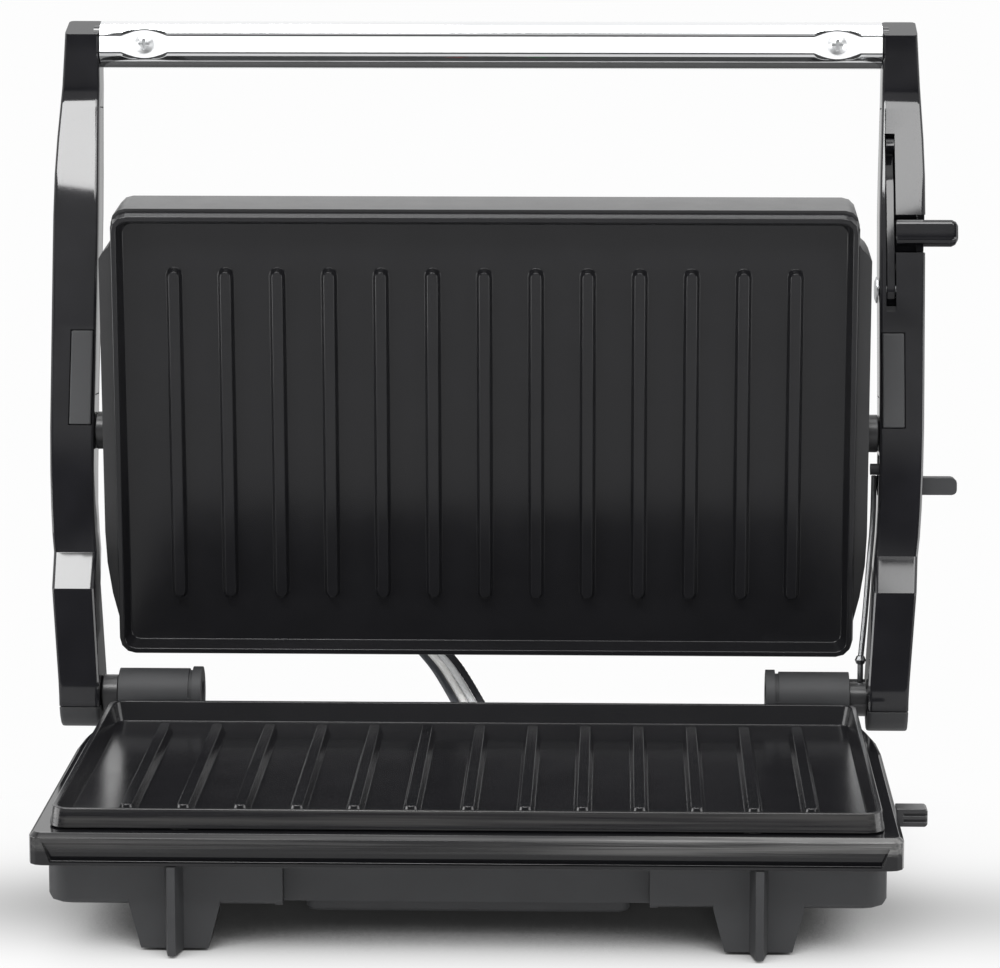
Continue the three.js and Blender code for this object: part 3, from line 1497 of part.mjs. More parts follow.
// Rod from the nub down the arm's inner face to a ball end and the stop tip.
function releaseRod() {
  const lane = (reach) => along(armInner, reach) - rodRadius - seatGap;
  const top = nubReach - nubRadius - seatGap;
  const points = rodPlaceShares.map((share) => {
    const reach = top + share * (ballReach - top);
    return new THREE.Vector3(lane(reach), -reach, nubRise() * (1 - share));
  });
  const ballX = (barrelOuter + along(armInner, 0)) / 2 + ballRadius / 2;
  points.push(new THREE.Vector3(ballX, -ballReach, 0));
  const curve = new THREE.CatmullRomCurve3(points);
  const rod = solid(swept(curve, rodRadius, smallSides, rodSteps));
  const ball = solid(new THREE.SphereGeometry(ballRadius, smallSides, smallSides / 2).translate(ballX, -ballReach, 0));
  const tip = stub(rodRadius, ballX, -ballReach, -collarRecessRadius - runningGap, 0, smallSides);
  return join(rod, ball, tip);
}

// Where a place on the lid stands once arms and lid are opened, in the base's frame.
function openLidPlace(x, fromPivotBack, fromPivotUp) {
  const turn = new THREE.Vector3(x, fromPivotBack, fromPivotUp);
  turn.applyAxisAngle(new THREE.Vector3(1, 0, 0), lidTiltAngle);
  turn.add(new THREE.Vector3(0, -pivotReach, pivotRise));
  turn.applyAxisAngle(new THREE.Vector3(1, 0, 0), -armsOpenAngle);
  return turn.add(new THREE.Vector3(0, hingeBack, hingeHeight));
}

// One of the leads that cross from the lid's back wall to the tray's, side by side.
function lead(index, count) {
  const offset = (index - (count - 1) / 2) * leadPitch;
  const lidWallBack = plateHalfDepth + lidOverhang - pivotBack;
  const proud = ringProud + seatGap;
  const exit = openLidPlace(leadExitAcross + offset, lidWallBack + proud, leadExitAbovePivot);
  const drift = leadEntryAcross - leadExitAcross;
  const [belowShare, sagShare] = leadDriftShares;
  const below = openLidPlace(exit.x + belowShare * drift, lidWallBack + proud + ringHeight, leadExitAbovePivot);
  const entry = new THREE.Vector3(leadEntryAcross + offset, trayRear + proud, leadEntryHeight);
  const outside = new THREE.Vector3(leadEntryAcross + offset, trayRear + proud + ringHeight, leadEntryHeight);
  const sag = new THREE.Vector3().addVectors(below, outside).multiplyScalar(0.5);
  sag.x = exit.x + sagShare * drift;
  sag.y += ringHeight / 2;
  sag.z -= ringHeight / 2;
  const curve = new THREE.CatmullRomCurve3([exit, below, sag, outside, entry]);
  return solid(swept(curve, leadRadius, leadSides, leadSteps));
}

// Rubber ring that lines a lead hole in a wall, flanged outside.
function leadRing(x, wallOutside, z) {
  const inner = roundedBox(ringWidth / 2, ringHeight / 2, ringHeight / 3, x, z);
  const outer = roundedBox(ringWidth / 2 + ringFlange, ringHeight / 2 + ringFlange, ringHeight / 2, x, z);
  const bore = roundedBox(ringWidth / 2 - ringFlange / 2, leadRadius + seatGap, leadRadius, x, z);
  const run = (plan, from, to) => solid(loft([from, to].map((y) => plan.map(([px, pz]) => [px, y, pz]))));
  const body = run(inner, wallOutside - 2 * trayWall, wallOutside + ringProud);
  const flange = run(outer, wallOutside + seatGap, wallOutside + ringProud);
  return cut(join(body, flange), run(bore, wallOutside - 3 * trayWall, wallOutside + 2 * ringProud));
}

function cordGland() {
  const z = glandHeight;
  const front = trayRear - 2 * trayWall;
  const body = stub(glandRadius, glandAcross, front, trayRear + glandProud, z);
  const flange = stub(glandFlange, glandAcross, trayRear + seatGap, trayRear + seatGap + glandFlangeWall, z);
  const bore = stub(glandBore, glandAcross, front - overrun, trayRear + glandProud + overrun, z);
  return cut(join(body, flange), bore);
}

// Finishes: colour, roughness and metalness of each kind of surface.
const finishes = {
  gloss: { color: 0x0b0b0c, roughness: 0.12, metalness: 0 },
  matt: { color: 0x3a3b3d, roughness: 0.55, metalness: 0 },
  satin: { color: 0x1d1e20, roughness: 0.4, metalness: 0 },
  coating: { color: 0x1c1d1f, roughness: 0.42, metalness: 0.1 },
  chrome: { color: 0xdedfe1, roughness: 0.07, metalness: 1 },
  steel: { color: 0x9a9ca0, roughness: 0.35, metalness: 1 },
  sheet: { color: 0xb4b6b8, roughness: 0.45, metalness: 1 },
  rubber: { color: 0x141414, roughness: 0.85, metalness: 0 },
  ceramic: { color: 0xd8d4c8, roughness: 0.6, metalness: 0 },
  redLens: { color: 0xb01812, roughness: 0.15, metalness: 0 },
  greenLens: { color: 0x1f8a3c, roughness: 0.15, metalness: 0 },
  darkSleeve: { color: 0x3c3e42, roughness: 0.7, metalness: 0 },
  whiteSleeve: { color: 0xe2e0da, roughness: 0.6, metalness: 0 },
  greySleeve: { color: 0xa7a8a8, roughness: 0.6, metalness: 0 },
  blackSleeve: { color: 0x17181a, roughness: 0.8, metalness: 0 },
};

function named(name, shape, finish) {
  const made = shape.getMesh();
  const geometry = new THREE.BufferGeometry();
  geometry.setAttribute('position', new THREE.Float32BufferAttribute(made.vertProperties, 3));
  geometry.setIndex(Array.from(made.triVerts));
  const mesh = new THREE.Mesh(geometry, new THREE.MeshStandardMaterial(finishes[finish]));
  geometry.computeVertexNormals();
  mesh.name = name;
  return mesh;
}

const group = new THREE.Group();

// Base: stands on the table.
const base = new THREE.Group();
base.position.z = padProud;
base.add(named('base_tray', baseTray(), 'matt'));
base.add(named('base_frame', baseFrame(), 'gloss'));
base.add(named('base_hatch', hatch(), 'matt'));
base.add(named('lower_plate', grillPlate(), 'coating'));
base.add(named('lower_element', heatingElement(), 'steel'));
base.add(named('lower_shield', heatShield(), 'sheet'));
base.add(named('latch_peg', latchPeg(), 'satin'));
base.add(named('terminal_block', terminalBlock(), 'ceramic'));
base.add(named('cord_gland', cordGland(), 'rubber'));
base.add(named('base_lead_ring', leadRing(leadEntryAcross, trayRear, leadEntryHeight), 'rubber'));
const sides = [['left', -1], ['right', 1]];
const rows = [['front', -1], ['rear', 1]];
for (const [sideName, side] of sides) {
  rows.forEach(([rowName, row], index) => {
    base.add(named(`foot_pad_${rowName}_${sideName}`, footPad(side * footReach, footRows[index]), 'rubber'));
    const seat = trayBottom + screwSink - seatGap / 3;
    base.add(named(`base_screw_${rowName}_${sideName}`,
      screwUp(side * screwPostReach, row * screwPostRow, seat, lugTop - 2 * overrun - seat), 'steel'));
  });
  base.add(named(`lower_shield_screw_${sideName}`, shieldScrew(side), 'steel'));
}
const leadNames = [['dark', 'darkSleeve'], ['white', 'whiteSleeve'], ['grey', 'greySleeve'], ['braided', 'blackSleeve']];
leadNames.forEach(([name, finish], index) => {
  base.add(named(`lead_${name}`, lead(index, leadNames.length), finish));
});
group.add(base);

// Hinge pins: lie on the hinge axis, turned with the arms' stop.
const hinge = new THREE.Group();
hinge.position.set(0, hingeBack, hingeHeight);
base.add(hinge);
for (const [sideName, side] of sides) {
  const pin = named(`hinge_pin_${sideName}`, hingePin(side), 'satin');
  hinge.add(pin);
}

// Arms: drawn with the grill shut, then turned open about the hinge.
const arms = new THREE.Group();
arms.rotation.x = -armsOpenAngle;
hinge.add(arms);
for (const [sideName, side] of sides) {
  arms.add(named(`arm_${sideName}`, armShell(side), 'gloss'));
  arms.add(named(`arm_cover_${sideName}`, armCover(side), 'gloss'));
  arms.add(named(`arm_cap_${sideName}`, armCap(side), 'matt'));
  arms.add(named(`arm_inset_${sideName}`, insetRun(side, 0), 'matt'));
  arms.add(named(`pivot_bush_${sideName}`, pivotBush(side), 'satin'));
  arms.add(named(`handle_screw_${sideName}`, handleScrew(side), 'chrome'));
}
arms.add(named('handle_tube', handleTube(), 'chrome'));
arms.add(named('release_tab', releaseTab(), 'matt'));
arms.add(named('release_rod', releaseRod(), 'steel'));
arms.add(named('latch_rivet', latchRivet(), 'steel'));

// Latch: drawn latched, then folded back into the right arm.
const latch = new THREE.Group();
latch.position.set(0, -latchReach, latchRise());
latch.rotation.x = -latchSwingAngle;
latch.add(named('latch_hook', latchHook(), 'gloss'));
latch.add(named('latch_lever', latchLever(), 'gloss'));
arms.add(latch);

// Lid: drawn shut over the base, hung on its pivots and tilted back from the arms.
const lid = new THREE.Group();
lid.position.set(0, -pivotReach, pivotRise);
lid.rotation.x = lidTiltAngle;
arms.add(lid);
for (const [sideName, side] of sides) {
  lid.add(named(`pivot_pin_${sideName}`, pivotPin(side), 'satin'));
}
const lidShut = new THREE.Group();
lidShut.position.set(0, -pivotBack, -pivotHeight);
lid.add(lidShut);
lidShut.add(named('lid_housing', lidHousing(), 'satin'));
lidShut.add(named('lid_panel', lidPanel(), 'steel'));
lidShut.add(named('power_light', lightLens(-1), 'redLens'));
lidShut.add(named('ready_light', lightLens(1), 'greenLens'));
lidShut.add(named('lid_lead_ring',
  leadRing(leadExitAcross, plateHalfDepth + lidOverhang, pivotHeight + leadExitAbovePivot), 'rubber'));
const upper = new THREE.Group();
upper.rotation.x = Math.PI;
upper.position.z = 2 * ribTop + shutRibGap;
lidShut.add(upper);
upper.add(named('upper_plate', grillPlate(), 'coating'));
upper.add(named('upper_element', heatingElement(), 'steel'));
upper.add(named('upper_shield', heatShield(), 'sheet'));
for (const [sideName, side] of sides) {
  upper.add(named(`upper_shield_screw_${sideName}`, shieldScrew(side), 'steel'));
}
upper.add(named('thermostat', thermostat(), 'ceramic'));
upper.add(named('thermal_fuse', thermalFuse(), 'ceramic'));

// The origin is the middle of the bottom of everything together.
group.updateMatrixWorld(true);
const reach = new THREE.Box3().setFromObject(group, true);
const centre = reach.getCenter(new THREE.Vector3());
group.position.set(-centre.x, -centre.y, -reach.min.z);
group.updateMatrixWorld(true);

export default group;
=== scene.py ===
"""Contact grill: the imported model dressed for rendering.

Metres, in the model's own frame: +X to the user's right, +Y to the back, +Z up.
"""
import json
import math

import bpy
from mathutils import Matrix, Vector


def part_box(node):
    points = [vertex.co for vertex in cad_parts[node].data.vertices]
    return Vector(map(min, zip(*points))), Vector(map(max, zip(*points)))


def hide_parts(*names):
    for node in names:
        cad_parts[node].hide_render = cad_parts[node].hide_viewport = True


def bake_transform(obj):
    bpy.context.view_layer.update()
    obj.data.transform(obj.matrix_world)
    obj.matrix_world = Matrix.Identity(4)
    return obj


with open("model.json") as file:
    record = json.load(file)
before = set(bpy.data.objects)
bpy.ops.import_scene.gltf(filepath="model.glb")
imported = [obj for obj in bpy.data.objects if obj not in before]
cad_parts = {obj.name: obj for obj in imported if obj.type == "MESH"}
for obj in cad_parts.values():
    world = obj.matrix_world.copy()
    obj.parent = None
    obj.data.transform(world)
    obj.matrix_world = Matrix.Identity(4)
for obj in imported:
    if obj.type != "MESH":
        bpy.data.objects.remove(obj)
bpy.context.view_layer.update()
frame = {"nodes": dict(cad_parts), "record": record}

MM = 0.001

# The camera as the photograph was taken, in the model's frame.
PHOTO_WIDTH = 1000
FOCAL_LENGTH_PIXELS = 4171
SENSOR_WIDTH = 36
CAMERA_FROM_PLATE = Vector((42, -1201.9)) * MM
CAMERA_HEIGHT = 322.4 * MM
CAMERA_RIGHT = Vector((0.99959, 0.02862, 0))
CAMERA_FORWARD = Vector((-0.02823, 0.98602, -0.16419))
CAMERA_REACH = 20

BLACK_GLOSS = (0.006, 0.006, 0.007)
DARK_MATT = (0.028, 0.0285, 0.03)
BLACK_SATIN = (0.02, 0.02, 0.021)
DARK_COATING = (0.008, 0.008, 0.009)
# Colours of the painted reflection streaks: the lower plate's front wall, then the frame's front wall.
PAINTED_SHEEN_GREY = (0.034, 0.0335, 0.033)
FRAME_PAINTED_SHEEN = (0.13, 0.129, 0.127)
CHROME_TINT = (0.88, 0.89, 0.9)
STEEL_TINT = (0.5, 0.51, 0.52)
SCREW_TINT = (0.78, 0.79, 0.8)
SHEET_TINT = (0.62, 0.63, 0.64)
RUBBER_BLACK = (0.012, 0.012, 0.012)
CERAMIC_WHITE = (0.62, 0.6, 0.55)
LENS_RED = (0.42, 0.012, 0.01)
LENS_GREEN = (0.015, 0.26, 0.06)
SLEEVE_DARK = (0.05, 0.053, 0.06)
SLEEVE_WHITE = (0.92, 0.91, 0.87)
SLEEVE_GREY = (0.62, 0.625, 0.63)
SLEEVE_BLACK = (0.016, 0.016, 0.018)

# The painted reflection streaks of the frame's front wall grow between these X places, from this share to the
# whole, a painted gleam that is stronger to the right.
GLEAM_REACH = (10 * MM, 40 * MM)
GLEAM_LEFT_SHARE = 0.32

# The chrome tube's flat band, as wide as in the model, the crease that borders it, where a thin line of
# painted shade is drawn, and how far to the sides of a screw and by how much the band widens.
FLAT_HALF = 2.8 * MM
CREASE_HALF = 0.3 * MM
ALONG_ARM = (0, 0.08194, 0.99664)
CREASE_PAINTED_SHADE = (0.03, 0.03, 0.032)
SEAT_REACH = 7.5 * MM
SEAT_BULGE = 1.9 * MM

# Leads: radius, the route's points from the low corner of each lead's box in the model, how far the ends
# run into their rings, and how many radii at a stretch's ends hold() measures off, which it does not use.
LEAD_RADIUS = 1.22 * MM
LEAD_ROUTE = [(0.87, 41.45, 27.81), (5.6, 41.9, 21.82), (16, 26.95, 8.09), (23.37, 6, 0.36), (23.37, 0, 0.36)]
LEAD_INTO_RING = 0.9 * MM
LEAD_HELD_ENDS = 1.3
ROUTE_STEPS = 20
LEAD_STEPS = 60
LEAD_SIDES = 20
LEAD_SPANS = [
    ("base", "hinge_pins", 0, 0.48),
    ("hinge_pins", "arms", 0.48, 0.8),
    ("arms", "lid", 0.8, 1),
]
LEAD_SLOTS = {
    "lead_dark": "dark_sleeve",
    "lead_white": "white_sleeve",
    "lead_grey": "grey_sleeve",
    "lead_braided": "black_sleeve",
}
BRAID_STRANDS = 8
BRAID_FINENESS = 4
BRAID_RADIUS = 0.27 * MM
BRAID_SIDES = 6
BRAID_PITCH = 7 * MM
BRAID_WEAVE = 0.09 * MM


class Field:
    """A socket of a node tree that can be used in a formula."""

    def __init__(self, tree, socket):
        self.tree = tree
        self.socket = socket

    def node(self, kind, inputs=None, output=0, **settings):
        """Adds a node of any kind and gives one of its outputs."""
        return add_node(self.tree, kind, inputs, output, **settings)

    def maths(self, operation, *others):
        values = dict(enumerate([self, *others]))
        return self.node("ShaderNodeMath", values, operation=operation)

    def reflected(self, operation, other):
        return self.node("ShaderNodeMath", {0: other, 1: self}, operation=operation)

    def __add__(self, other):
        return self.maths("ADD", other)

    def __radd__(self, other):
        return self.reflected("ADD", other)

    def __sub__(self, other):
        return self.maths("SUBTRACT", other)

    def __rsub__(self, other):
        return self.reflected("SUBTRACT", other)

    def __mul__(self, other):
        return self.maths("MULTIPLY", other)

    def __rmul__(self, other):
        return self.reflected("MULTIPLY", other)

    def __truediv__(self, other):
        return self.maths("DIVIDE", other)

    def limited(self, low, high):
        """Maps low..high to 0..1 and stops there."""
        inputs = {"Value": self, "From Min": low, "From Max": high}
        return self.node("ShaderNodeMapRange", inputs, clamp=True)

    def between(self, low, high):
        """Maps 0..1 to low..high."""
        inputs = {"Value": self, "To Min": low, "To Max": high}
        return self.node("ShaderNodeMapRange", inputs, clamp=True)

    def tint(self, dark, light):
        """Colour between two colours by this share."""
        inputs = {"Factor": self, 6: colour_value(dark), 7: colour_value(light)}
        return self.node("ShaderNodeMix", inputs, output=2, data_type="RGBA")

    def along(self, direction):
        """How far this place lies along a direction."""
        return self.node("ShaderNodeVectorMath", {0: self, 1: direction}, output=1, operation="DOT_PRODUCT")

    def noise(self, size, detail=2.0, roughness=0.5, stretch=(1, 1, 1)):
        """Noise of one grain size in metres, stretched along an axis by a factor below one."""
        scaled = self.node("ShaderNodeVectorMath", {0: self, 1: stretch}, operation="MULTIPLY")
        inputs = {"Vector": scaled, "Scale": 1 / size, "Detail": detail, "Roughness": roughness}
        return self.node("ShaderNodeTexNoise", inputs)

    def cells(self, size):
        """Distance to the middle of cells of one size in metres."""
        return self.node("ShaderNodeTexVoronoi", {"Vector": self, "Scale": 1 / size})

    def bump(self, depth, strength=1.0, under=None):
        """Surface normal raised by this height, depth metres from 0 to 1."""
        inputs = {"Height": self, "Distance": depth, "Strength": strength}
        if under is not None:
            inputs["Normal"] = under
        return self.node("ShaderNodeBump", inputs)


def colour_value(colour):
    return colour if isinstance(colour, Field) else (*colour, 1)


def add_node(tree, kind, inputs=None, output=0, **settings):
    """Adds a node with its settings and inputs, and gives one of its outputs as a field."""
    made = tree.nodes.new(kind)
    for name, value in settings.items():
        setattr(made, name, value)
    for name, value in (inputs or {}).items():
        if isinstance(value, Field):
            tree.links.new(value.socket, made.inputs[name])
        else:
            made.inputs[name].default_value = value
    return Field(tree, made.outputs[output])


def material(name, constants, pattern):
    """A principled material: constants on its sockets, and a pattern that gives the varying ones."""
    made = bpy.data.materials.new(name)
    made.use_nodes = True
    tree = made.node_tree
    shader = tree.nodes["Principled BSDF"]
    for socket, value in constants.items():
        shader.inputs[socket].default_value = value
    at = add_node(tree, "ShaderNodeTexCoord", output="Object")
    for socket, value in pattern(at).items():
        tree.links.new(value.socket, shader.inputs[socket])
    return made


def shade(colour, factor):
    return tuple(min(channel * factor, 1) for channel in colour)


def moulded(name, colour, low, high, grain=0.35 * MM, depth=0.012 * MM, **constants):
    """Plastic, rubber, ceramic or silicone with a fine grain and a soft change in tone."""
    def pattern(at):
        tone = at.noise(9 * MM, detail=4)
        fine = at.noise(grain, detail=3, roughness=0.6)
        return {
            "Base Color": (tone * 0.6 + fine * 0.4).tint(shade(colour, 0.75), shade(colour, 1.3)),
            "Roughness": (tone * 0.5 + fine * 0.5).between(low, high),
            "Normal": fine.bump(depth),
        }
    return material(name, constants, pattern)


def glossy(name, colour):
    """Polished black moulding: long soft waves, rare dust and hairline marks."""
    def pattern(at):
        wave = at.noise(14 * MM, detail=2)
        hair = at.noise(0.5 * MM, detail=2, stretch=(1, 1, 0.04)).limited(0.66, 0.72)
        dust = at.cells(2.2 * MM).limited(0.05, 0.02)
        return {
            "Base Color": (wave * 0.7 + dust * 0.5).tint(shade(colour, 0.7), shade(colour, 2.2)),
            "Roughness": (wave * 0.3 + hair * 0.4 + dust * 0.5).between(0.05, 0.2),
            "Normal": wave.bump(0.02 * MM, 0.6),
        }
    return material(name, {"IOR": 1.5}, pattern)


def streaks(at, size):
    """Soft bands of many widths that run from side to side, plain and with more contrast."""
    broad = at.noise(size, detail=4, roughness=0.65, stretch=(0.012, 1, 1))
    return broad, broad.limited(0.4, 0.64)


def before_y(at, edge, fade):
    """One before a given Y and nought behind it."""
    return at.along((0, 1, 0)).limited(edge + fade, edge)


def sheen_painted_gloss(name, colour, painted_sheen_before, painted_sheen_above):
    """Black moulding whose front wall has painted reflection streaks from side to side in its colour, most on
    its upper right part, with streaks in its roughness and bump too.
    """
    def pattern(at):
        # Where the painted reflection streaks go: above the lip, before the front, and stronger to the right
        # as a painted gleam.
        upper = at.along((0, 0, 1)).limited(painted_sheen_above, painted_sheen_above + 1.5 * MM)
        right = at.along((1, 0, 0)).limited(*GLEAM_REACH).between(GLEAM_LEFT_SHARE, 1)
        wall = before_y(at, painted_sheen_before, 1 * MM) * upper * right
        broad, sheen_streak = streaks(at, 2.2 * MM)
        dust = at.cells(2.2 * MM).limited(0.05, 0.02)
        wave = at.noise(14 * MM, detail=2)
        return {
            "Base Color": (wall * sheen_streak * 0.9 + dust * 0.05).tint(shade(colour, 0.7), FRAME_PAINTED_SHEEN),
            "Roughness": (wall * sheen_streak * 0.6 + wave * 0.2 + dust * 0.3).between(0.05, 0.25),
            "Normal": (wall * broad).bump(0.2 * MM, 0.8),
        }
    return material(name, {"IOR": 1.5}, pattern)


def metal(name, colour, low, high, stretch, line=0.25 * MM, depth=0.004 * MM):
    """Bare metal with drawn or brushed lines and a slow change in gloss."""
    def pattern(at):
        lines = at.noise(line, detail=3, roughness=0.7, stretch=stretch)
        slow = at.noise(18 * MM, detail=3)
        return {
            "Base Color": (lines * 0.4 + slow * 0.6).tint(shade(colour, 0.86), shade(colour, 1.08)),
            "Roughness": (lines * 0.6 + slow * 0.4).between(low, high),
            "Normal": lines.bump(depth),
        }
    return material(name, {"Metallic": 1.0}, pattern)


def plated_tube(name, colour):
    """Chrome tube: a satin flat band that widens round each screw, with thin lines of painted shade along the
    creases beside it.
    """
    low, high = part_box("handle_tube")
    middle = (low + high) / 2
    axis = middle.dot(Vector(ALONG_ARM))
    seats = [sum(corner.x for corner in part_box("handle_screw_" + side)) / 2 for side in ("left", "right")]

    def pattern(at):
        reach = at.along((1, 0, 0))
        beside = (reach - seats[0]).maths("ABSOLUTE").maths("MINIMUM", (reach - seats[1]).maths("ABSOLUTE"))
        swell = (beside.limited(SEAT_REACH, 0) * math.pi / 2).maths("SINE") * SEAT_BULGE
        across = (at.along(ALONG_ARM) - axis).maths("ABSOLUTE") - swell
        # Painted shade: a thin dark line along the crease at the flat band's edge.
        crease = 1 - (across - FLAT_HALF).maths("ABSOLUTE").limited(CREASE_HALF * 0.6, CREASE_HALF)
        flat = 1 - across.limited(FLAT_HALF, FLAT_HALF + CREASE_HALF)
        lines = at.noise(0.25 * MM, detail=3, roughness=0.7, stretch=(0.02, 1, 1))
        slow = at.noise(18 * MM, detail=3)
        plate = (lines * 0.4 + slow * 0.6).tint(shade(colour, 0.92), shade(colour, 1.06))
        return {
            "Base Color": crease.tint(plate, CREASE_PAINTED_SHADE),
            "Metallic": 1 - flat * 0.6,
            "Roughness": (lines * 0.6 + slow * 0.4).between(0.03, 0.1) + flat * 0.32,
            "Normal": lines.bump(0.003 * MM),
        }
    return material(name, {}, pattern)


def coated(name, colour, painted_sheen_before=None):
    """Non-stick coating over cast metal: fleck, orange peel and faint rub marks.

    The outer wall that lies before a given Y gets painted reflection streaks from side to side, lighter in
    colour, with a real bump along them.
    """
    def pattern(at):
        peel = at.noise(0.8 * MM, detail=2)
        fleck = at.cells(0.3 * MM).limited(0.3, 0.0)
        rub = at.noise(16 * MM, detail=5, roughness=0.6)
        tone = fleck * 0.25 + rub * 0.75
        gloss = peel * 0.3 + rub * 0.7
        height = peel
        base = tone.tint(shade(colour, 0.75), shade(colour, 1.4))
        if painted_sheen_before is not None:
            broad, sheen_streak = streaks(at, 1.8 * MM)
            wall = before_y(at, painted_sheen_before, 0.4 * MM)
            # Painted reflection: the colour turns lighter along the streaks.
            base = (wall * sheen_streak * 0.9).tint(base, PAINTED_SHEEN_GREY)
            height = peel + wall * broad * 8
        normal = height.bump(0.008 * MM, 0.6)
        return {
            "Base Color": base,
            "Roughness": gloss.between(0.1, 0.22),
            "Normal": fleck.bump(0.002 * MM, 0.4, under=normal),
        }
    return material(name, {"IOR": 1.42}, pattern)


def braid(name, colour):
    """Woven sleeve, whose strands are modelled: short fibres on each strand."""
    def pattern(at):
        fibre = at.noise(0.12 * MM, detail=3, stretch=(1, 1, 0.25))
        tone = at.noise(1.2 * MM, detail=2)
        return {
            "Base Color": (fibre * 0.6 + tone * 0.4).tint(shade(colour, 0.5), shade(colour, 2.6)),
            "Roughness": fibre.between(0.55, 0.85),
            "Normal": fibre.bump(0.03 * MM),
        }
    return material(name, {}, pattern)


FINISHES = {
    "gloss": glossy("gloss_black", BLACK_GLOSS),
    "matt": moulded("matt_grey", DARK_MATT, 0.5, 0.65, IOR=1.4),
    "satin": moulded("satin_black", BLACK_SATIN, 0.24, 0.4, grain=0.5 * MM, depth=0.006 * MM),
    "coating": coated("non_stick", DARK_COATING),
    "chrome": metal("chrome", CHROME_TINT, 0.04, 0.12, (0.02, 1, 1)),
    "steel": metal("steel", STEEL_TINT, 0.22, 0.42, (1, 1, 0.1)),
    "sheet": metal("sheet_steel", SHEET_TINT, 0.28, 0.5, (0.05, 1, 1)),
    "rubber": moulded("rubber", RUBBER_BLACK, 0.7, 0.9, grain=0.6 * MM, depth=0.03 * MM),
    "ceramic": moulded("ceramic", CERAMIC_WHITE, 0.5, 0.7, grain=0.4 * MM),
    "red_lens": moulded("red_lens", LENS_RED, 0.08, 0.16, depth=0.004 * MM),
    "green_lens": moulded("green_lens", LENS_GREEN, 0.08, 0.16, depth=0.004 * MM),
    "dark_sleeve": moulded("dark_sleeve", SLEEVE_DARK, 0.35, 0.5),
    "white_sleeve": moulded("white_sleeve", SLEEVE_WHITE, 0.4, 0.55),
    "grey_sleeve": moulded("grey_sleeve", SLEEVE_GREY, 0.4, 0.55),
    "black_sleeve": braid("black_sleeve", SLEEVE_BLACK),
}
# Painted reflection streaks lie before these Y places, and on the frame also above this height.
FRAME_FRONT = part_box("base_frame")[0].y + 1.6 * MM
FRAME_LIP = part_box("base_frame")[0].z + 3.4 * MM
PLATE_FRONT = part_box("lower_plate")[0].y + 2.6 * MM
SCREW_STEEL = metal("screw_steel", SCREW_TINT, 0.34, 0.5, (1, 1, 0.1))
OWN_FINISHES = {
    "base_frame": sheen_painted_gloss("sheen_painted_gloss_black", BLACK_GLOSS, FRAME_FRONT, FRAME_LIP),
    "lower_plate": coated("non_stick_sheen_painted", DARK_COATING, PLATE_FRONT),
    "handle_tube": plated_tube("plated_tube", CHROME_TINT),
    "handle_screw_left": SCREW_STEEL,
    "handle_screw_right": SCREW_STEEL,
}

# Widths of the rounded edges of each finish.
EDGE_WIDTHS = {
    "gloss": 0.4 * MM,
    "matt": 0.4 * MM,
    "satin": 0.4 * MM,
    "coating": 0.28 * MM,
    "rubber": 0.3 * MM,
    "chrome": 0.12 * MM,
}
# Finishes whose pieces are rounded at full width. Elsewhere a piece's width shrinks to what its closest
# edges leave room for.
FULL_WIDTH = {"coating"}
EDGE_SEGMENTS = 3
SHARP_ANGLE = math.radians(35)
FLAT_ANGLE = math.radians(0.4)
WELD_REACH = 0.002 * MM
SOFT_ANGLE = math.radians(40)
GLOSS_SOFT_ANGLE = math.radians(23.5)


def group(name, sizes):
    """A geometry tree with named inputs, its input fields and its output node."""
    tree = bpy.data.node_groups.new(name, "GeometryNodeTree")
    tree.interface.new_socket("Geometry", in_out="INPUT", socket_type="NodeSocketGeometry")
    for size, kind in sizes.items():
        tree.interface.new_socket(size, in_out="INPUT", socket_type=kind)
    tree.interface.new_socket("Geometry", in_out="OUTPUT", socket_type="NodeSocketGeometry")
    given = tree.nodes.new("NodeGroupInput")
    fields = {socket.name: Field(tree, socket) for socket in given.outputs if socket.name}
    return tree, fields, tree.nodes.new("NodeGroupOutput")


def identifier(tree, name):
    """The identifier by which a modifier sets the input of this name."""
    for item in tree.interface.items_tree:
        if item.name == name and item.in_out == "INPUT":
            return item.identifier
    raise KeyError(name)


def smoothing_tree():
    """Node tree that smooths a mesh except across edges sharper than an angle."""
    tree, given, result = group("soft_shading", {"Angle": "NodeSocketFloat"})
    mesh = given["Geometry"]
    whole = mesh.node("GeometryNodeSetShadeSmooth", {"Geometry": mesh}, domain="FACE")
    turn = add_node(tree, "GeometryNodeInputMeshEdgeAngle")
    gentle = turn.node("FunctionNodeCompare", {0: turn, 1: given["Angle"]}, operation="LESS_EQUAL")
    inputs = {"Geometry": whole, "Shade Smooth": gentle}
    edges = whole.node("GeometryNodeSetShadeSmooth", inputs, domain="EDGE")
    tree.links.new(edges.socket, result.inputs["Geometry"])
    return tree


def tube_tree():
    """Node tree that turns lines of edges into closed round tubes."""
    sizes = {"Radius": "NodeSocketFloat", "Sides": "NodeSocketInt", "Finish": "NodeSocketMaterial"}
    tree, given, result = group("tubes", sizes)
    lines = given["Geometry"].node("GeometryNodeMeshToCurve", {"Mesh": given["Geometry"]})
    ring = {"Radius": given["Radius"], "Resolution": given["Sides"]}
    circle = lines.node("GeometryNodeCurvePrimitiveCircle", ring, mode="RADIUS")
    walls = {"Curve": lines, "Profile Curve": circle, "Fill Caps": True}
    skin = lines.node("GeometryNodeCurveToMesh", walls)
    soft = skin.node("GeometryNodeSetShadeSmooth", {"Geometry": skin, "Shade Smooth": True})
    plain = soft.node("GeometryNodeRealizeInstances", {"Geometry": soft})
    inputs = {"Geometry": plain, "Material": given["Finish"]}
    done = plain.node("GeometryNodeSetMaterial", inputs)
    tree.links.new(done.socket, result.inputs["Geometry"])
    return tree


